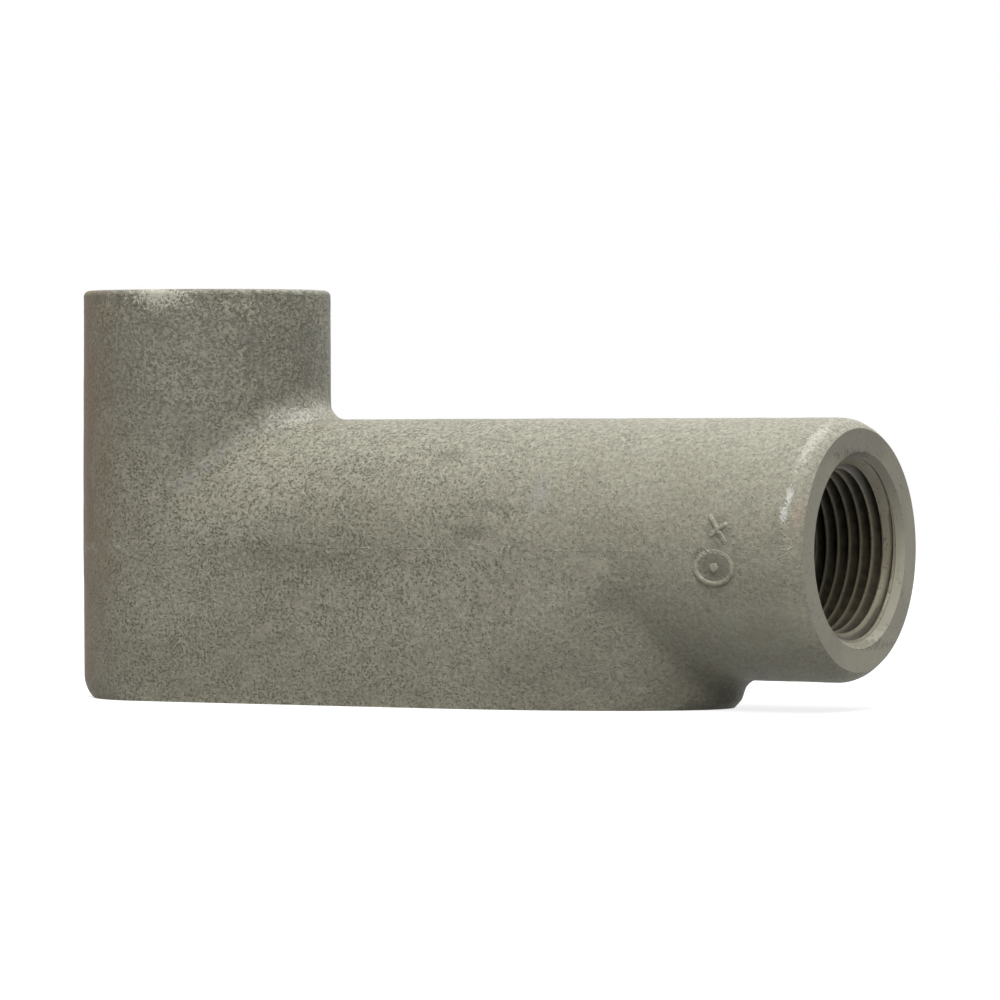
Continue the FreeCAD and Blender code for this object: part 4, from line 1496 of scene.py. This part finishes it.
@dataclass
class FoundryMarks:
    """Two plain raised marks on the barrel's side: a ring round a dot, and a bar with short arms."""

    sizes: CastingSizes
    material: bpy.types.Material
    ring_centre: tuple[float, float] = (97.75, -6.7)
    bar_centre: tuple[float, float] = (98.35, 9.6)
    ring_reach: tuple[float, float] = (2.95, 2.3)
    dot_radius: float = 0.75
    line_width: float = 0.8
    relief: float = 0.3
    bar_length: float = 4.6
    arm_length: float = 2.8
    bar_lean: float = 55.0
    foot: float = 0.12
    shoulder_width: float = 0.75
    shoulder_height: float = 0.7
    top_width: float = 0.3
    inset: float = 0.01
    steps: int = 48
    bar_steps: int = 8

    def surface(self, centre: tuple[float, float], along: float, around: float, lift: float) -> Vector:
        """Give a place on the barrel's near side.

        Args:
            centre: The mark's own distance along the barrel, and its angle above the parting.
            along: How far beyond the centre, along the barrel.
            around: How far above the centre, round the barrel.
            lift: How far off the barrel's outside.

        Returns:
            The place, in the row frame.
        """
        x = centre[0] + along
        radius = self.sizes.barrel_radius_at(x)
        angle = math.radians(centre[1]) + around / radius
        widest = self.sizes.mouth_radius - self.inset
        radius = min(radius + lift, widest / math.cos(angle))
        return self.sizes.to_row((x, -radius * math.cos(angle),
                                  self.sizes.parting_height + radius * math.sin(angle)))

    def stroke(self, built: bmesh.types.BMesh, centre: tuple[float, float],
               path: Sequence[tuple[float, float]], closed: bool) -> None:
        """Lay a rounded raised line along a path on the barrel.

        Args:
            built: The mesh that takes it.
            centre: The mark's place.
            path: Points along and around the barrel.
            closed: Whether the path joins its own start. An open one slopes into the skin at its ends.
        """
        half = self.line_width / 2
        if not closed:
            first, second, before, last = (Vector(path[number]) for number in (0, 1, -2, -1))
            path = [tuple(first + (first - second).normalized() * half), *path,
                    tuple(last + (last - before).normalized() * half)]
        rise = [(half, -self.foot), (half * self.shoulder_width, self.relief * self.shoulder_height),
                (half * self.top_width, self.relief)]
        section = [(-across, lift) for across, lift in rise] + rise[::-1]
        rows = []
        count = len(path)
        for number, (x, y) in enumerate(path):
            before = path[number - 1] if closed or number else path[number]
            after = path[(number + 1) % count] if closed or number + 1 < count else path[number]
            ahead = Vector((after[0] - before[0], after[1] - before[1])).normalized()
            side = Vector((-ahead.y, ahead.x))
            sunk = not closed and number in (0, count - 1)
            rows.append([built.verts.new(self.surface(centre, x + side.x * across, y + side.y * across,
                                                      -self.foot if sunk else lift))
                         for across, lift in section])
        last = count if closed else count - 1
        for number in range(last):
            first = rows[number]
            second = rows[(number + 1) % count]
            for place in range(len(section) - 1):
                built.faces.new((first[place], second[place], second[place + 1], first[place + 1]))

    def dome(self, built: bmesh.types.BMesh, centre: tuple[float, float], along: float, around: float,
             radius: float) -> None:
        """Lay a small raised dome on the barrel.

        Args:
            built: The mesh that takes it.
            centre: The mark's place.
            along: How far beyond the centre, along the barrel.
            around: How far above the centre, round the barrel.
            radius: The dome's radius.
        """
        side_height = 0.6 * self.relief
        top_height = 0.95 * self.relief
        levels = ((1.0, -self.foot), (0.85, side_height), (0.5, top_height))
        count = self.steps // 2
        rings = []
        for share, lift in levels:
            ring = []
            for step in range(count):
                turn = 2 * math.pi * step / count
                place = self.surface(centre, along + radius * share * math.cos(turn),
                                     around + radius * share * math.sin(turn), lift)
                ring.append(built.verts.new(place))
            rings.append(ring)
        top = built.verts.new(self.surface(centre, along, around, self.relief))
        for outer, inner in zip(rings, rings[1:]):
            for step in range(count):
                after = (step + 1) % count
                built.faces.new((outer[step], outer[after], inner[after], inner[step]))
        for step in range(count):
            built.faces.new((rings[-1][step], rings[-1][(step + 1) % count], top))

    def build(self) -> bpy.types.Object:
        """Build both marks as one piece.

        Returns:
            The finished piece.
        """
        built = bmesh.new()
        ring = [(self.ring_reach[0] * math.cos(turn), self.ring_reach[1] * math.sin(turn))
                for turn in (2 * math.pi * step / self.steps for step in range(self.steps))]
        self.stroke(built, self.ring_centre, ring, closed=True)
        self.dome(built, self.ring_centre, 0.0, 0.0, self.dot_radius)
        for length, degrees in ((self.bar_length, self.bar_lean), (self.arm_length, self.bar_lean - 90.0)):
            lean = math.radians(degrees)
            reaches = (length * (step / self.bar_steps - 0.5) for step in range(self.bar_steps + 1))
            points = [(math.cos(lean) * reach, -math.sin(lean) * reach) for reach in reaches]
            self.stroke(built, self.bar_centre, points, closed=False)
        built.normal_update()
        level = self.sizes.parting_height * MILLIMETRE
        for face in built.faces:
            face.smooth = True
            centre = face.calc_center_median()
            if face.normal.dot(Vector((0.0, centre.y, centre.z - level))) < 0.0:
                face.normal_flip()
        mesh = bpy.data.meshes.new("foundry_marks")
        built.to_mesh(mesh)
        built.free()
        mesh.materials.append(self.material)
        marks = bpy.data.objects.new("foundry_marks", mesh)
        bpy.context.scene.collection.objects.link(marks)
        return marks


@dataclass(frozen=True)
class Viewpoint:
    """The photograph's viewpoint, as fitted to the casting's edges."""

    azimuth: float = math.radians(30.586)
    pitch: float = math.radians(0.854)
    roll: float = math.radians(0.126)
    lens: float = 237.415
    sensor: float = 36.0
    place_mm: Point = (500.61, -838.09, 44.55)

    def place(self) -> bpy.types.Object:
        """Create the camera and make it the scene's own.

        Returns:
            The camera object.
        """
        ahead = Vector((-math.sin(self.azimuth), math.cos(self.azimuth), 0.0))
        right = Vector((math.cos(self.azimuth), math.sin(self.azimuth), 0.0))
        upright = Vector((0.0, 0.0, 1.0))
        view = ahead * math.cos(self.pitch) - upright * math.sin(self.pitch)
        up = upright * math.cos(self.pitch) + ahead * math.sin(self.pitch)
        rolled_right = right * math.cos(self.roll) - up * math.sin(self.roll)
        rolled_up = up * math.cos(self.roll) + right * math.sin(self.roll)
        turn = Matrix((rolled_right, rolled_up, -view)).transposed()
        data = bpy.data.cameras.new("photo_camera")
        data.lens = self.lens
        data.sensor_width = self.sensor
        data.sensor_fit = "HORIZONTAL"
        data.clip_start = 0.05
        data.clip_end = 20.0
        camera = bpy.data.objects.new("photo_camera", data)
        camera.matrix_world = Matrix.Translation(Vector(self.place_mm) * MILLIMETRE) @ turn.to_4x4()
        bpy.context.scene.collection.objects.link(camera)
        bpy.context.scene.camera = camera
        return camera


@dataclass(frozen=True)
class Softbox:
    """A square area lamp."""

    name: str
    place: Point
    aim: Point
    size: float
    watts: float
    colour: Colour = (1.0, 1.0, 1.0)

    def hang(self) -> None:
        """Put the lamp in the scene."""
        data = bpy.data.lights.new(self.name, "AREA")
        data.shape = "SQUARE"
        data.size = self.size
        data.energy = self.watts
        data.color = self.colour
        lamp = bpy.data.objects.new(self.name, data)
        lamp.location = self.place
        lamp.rotation_euler = (Vector(self.aim) - Vector(self.place)).to_track_quat("-Z", "Y").to_euler()
        bpy.context.scene.collection.objects.link(lamp)


@dataclass
class Studio:
    """The pale floor, the white surroundings and the lamps."""

    surround: float = 0.01
    floor_glow: float = 0.82
    far_glow: float = 0.995
    glow_reach: tuple[float, float] = (0.22, 0.9)
    floor_colour: float = 0.32
    floor_width: float = 8.0
    lamps: tuple[Softbox, ...] = field(default=(
        Softbox("overhead", (0.0, 0.10, 0.95), (0.0, 0.0, 0.03), 0.9, 9.45, (0.945, 0.975, 1.0)),
        Softbox("over_front", (0.35, -0.60, 0.80), (0.0, 0.0, 0.03), 0.6, 10.4),
        Softbox("back_top", (0.0, 0.80, 0.70), (0.0, 0.0, 0.03), 0.7, 2.6),
        Softbox("front_left", (-0.50, -1.00, 0.25), (0.0, 0.0, 0.03), 0.5, 0.5),
    ))

    def set_up(self) -> None:
        """Build the floor, the surroundings and the lamps."""
        bpy.context.scene.view_settings.view_transform = "Standard"
        self.light_surround()
        self.lay_floor()
        for lamp in self.lamps:
            lamp.hang()

    def seen_ray(self, graph: Graph) -> bpy.types.NodeSocket:
        """Tell camera, mirror and glass rays from the ones that light the object."""
        path = graph.node("ShaderNodeLightPath").outputs
        shiny = graph.math("MAXIMUM", path["Is Glossy Ray"], path["Is Transmission Ray"])
        return graph.math("MAXIMUM", path["Is Camera Ray"], shiny)

    def light_surround(self) -> None:
        """Make the surroundings white to look at, and a soft grey light on the object."""
        world = bpy.data.worlds.new("white surround")
        world.use_nodes = True
        graph = Graph(world.node_tree)
        background = graph.node("ShaderNodeBackground")
        background.inputs["Color"].default_value = (1.0, 1.0, 1.0, 1.0)
        graph.feed(background.inputs["Strength"], graph.shift(self.surround, self.seen_ray(graph), 1.0))
        graph.end("ShaderNodeOutputWorld", background.outputs["Background"])
        bpy.context.scene.world = world

    def lay_floor(self) -> None:
        """Lay a pale floor that looks white to the camera and keeps the object's shadow."""
        half = self.floor_width / 2
        corners = [(-half, -half, 0.0), (half, -half, 0.0), (half, half, 0.0), (-half, half, 0.0)]
        mesh = bpy.data.meshes.new("floor")
        mesh.from_pydata(corners, [], [(0, 1, 2, 3)])
        floor = bpy.data.objects.new("floor", mesh)
        bpy.context.scene.collection.objects.link(floor)
        material, graph = new_material("pale floor")
        matt = graph.node("ShaderNodeBsdfDiffuse")
        matt.inputs["Color"].default_value = (self.floor_colour, self.floor_colour, self.floor_colour, 1.0)
        glow = graph.node("ShaderNodeEmission")
        away = graph.length(graph.place())
        far = graph.shift(self.floor_glow, graph.step(away, *self.glow_reach), self.far_glow)
        graph.feed(glow.inputs["Strength"], graph.math("MULTIPLY", self.seen_ray(graph), far))
        both = graph.node("ShaderNodeAddShader")
        graph.feed(both.inputs[0], matt.outputs[0])
        graph.feed(both.inputs[1], glow.outputs[0])
        graph.end("ShaderNodeOutputMaterial", both.outputs[0])
        mesh.materials.append(material)


def settle(piece: bpy.types.Object, replaced: str | None = None) -> None:
    """Let a piece ride on the casting's body and log it.

    Args:
        piece: The finished piece.
        replaced: The CAD node that it stands for, if any.
    """
    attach(piece, BODY)
    if replaced is not None:
        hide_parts(replaced)
    log.info("%s: %d faces", piece.name, len(piece.data.polygons))


def main() -> None:
    """Build the looks in order and log each piece."""
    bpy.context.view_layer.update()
    sizes = read_sizes()
    Viewpoint().place()
    groups = build_groups()
    cast = PaintedCast(groups, sizes).build()
    faced = FacedIron(groups, sizes).build()
    bored = BoredIron(groups).build()
    # The marks' paint is made lighter, a painted highlight on their raised tops.
    highlighted_marks = PaintedCast(groups, sizes, name="marks with painted highlight", light=(0.318, 0.304, 0.238),
                         deep=(0.265, 0.252, 0.194), patches=()).build()
    hollow = PaintedCast(groups, sizes, name="painted hollow", patches=()).build()
    settle(CastingSkin(sizes, (cast, faced, bored, hollow)).build(), NODE)
    up_the_hub = Matrix.Translation((0.0, 0.0, sizes.height + PipeThread.pitch / 2 - sizes.thread_wall))
    along_the_barrel = (Matrix.Translation((sizes.end_face - sizes.height, 0.0, sizes.parting_height))
                        @ Matrix.Rotation(math.radians(90.0), 4, "Y") @ up_the_hub)
    settle(PipeThread("back_hub_thread", bored, sizes, up_the_hub).build())
    settle(PipeThread("end_hub_thread", bored, sizes, along_the_barrel).build())
    settle(FoundryMarks(sizes, highlighted_marks).build())
    Studio().set_up()


if __name__ == "__main__":
    logging.basicConfig(level=logging.INFO, format="%(message)s")
    main()
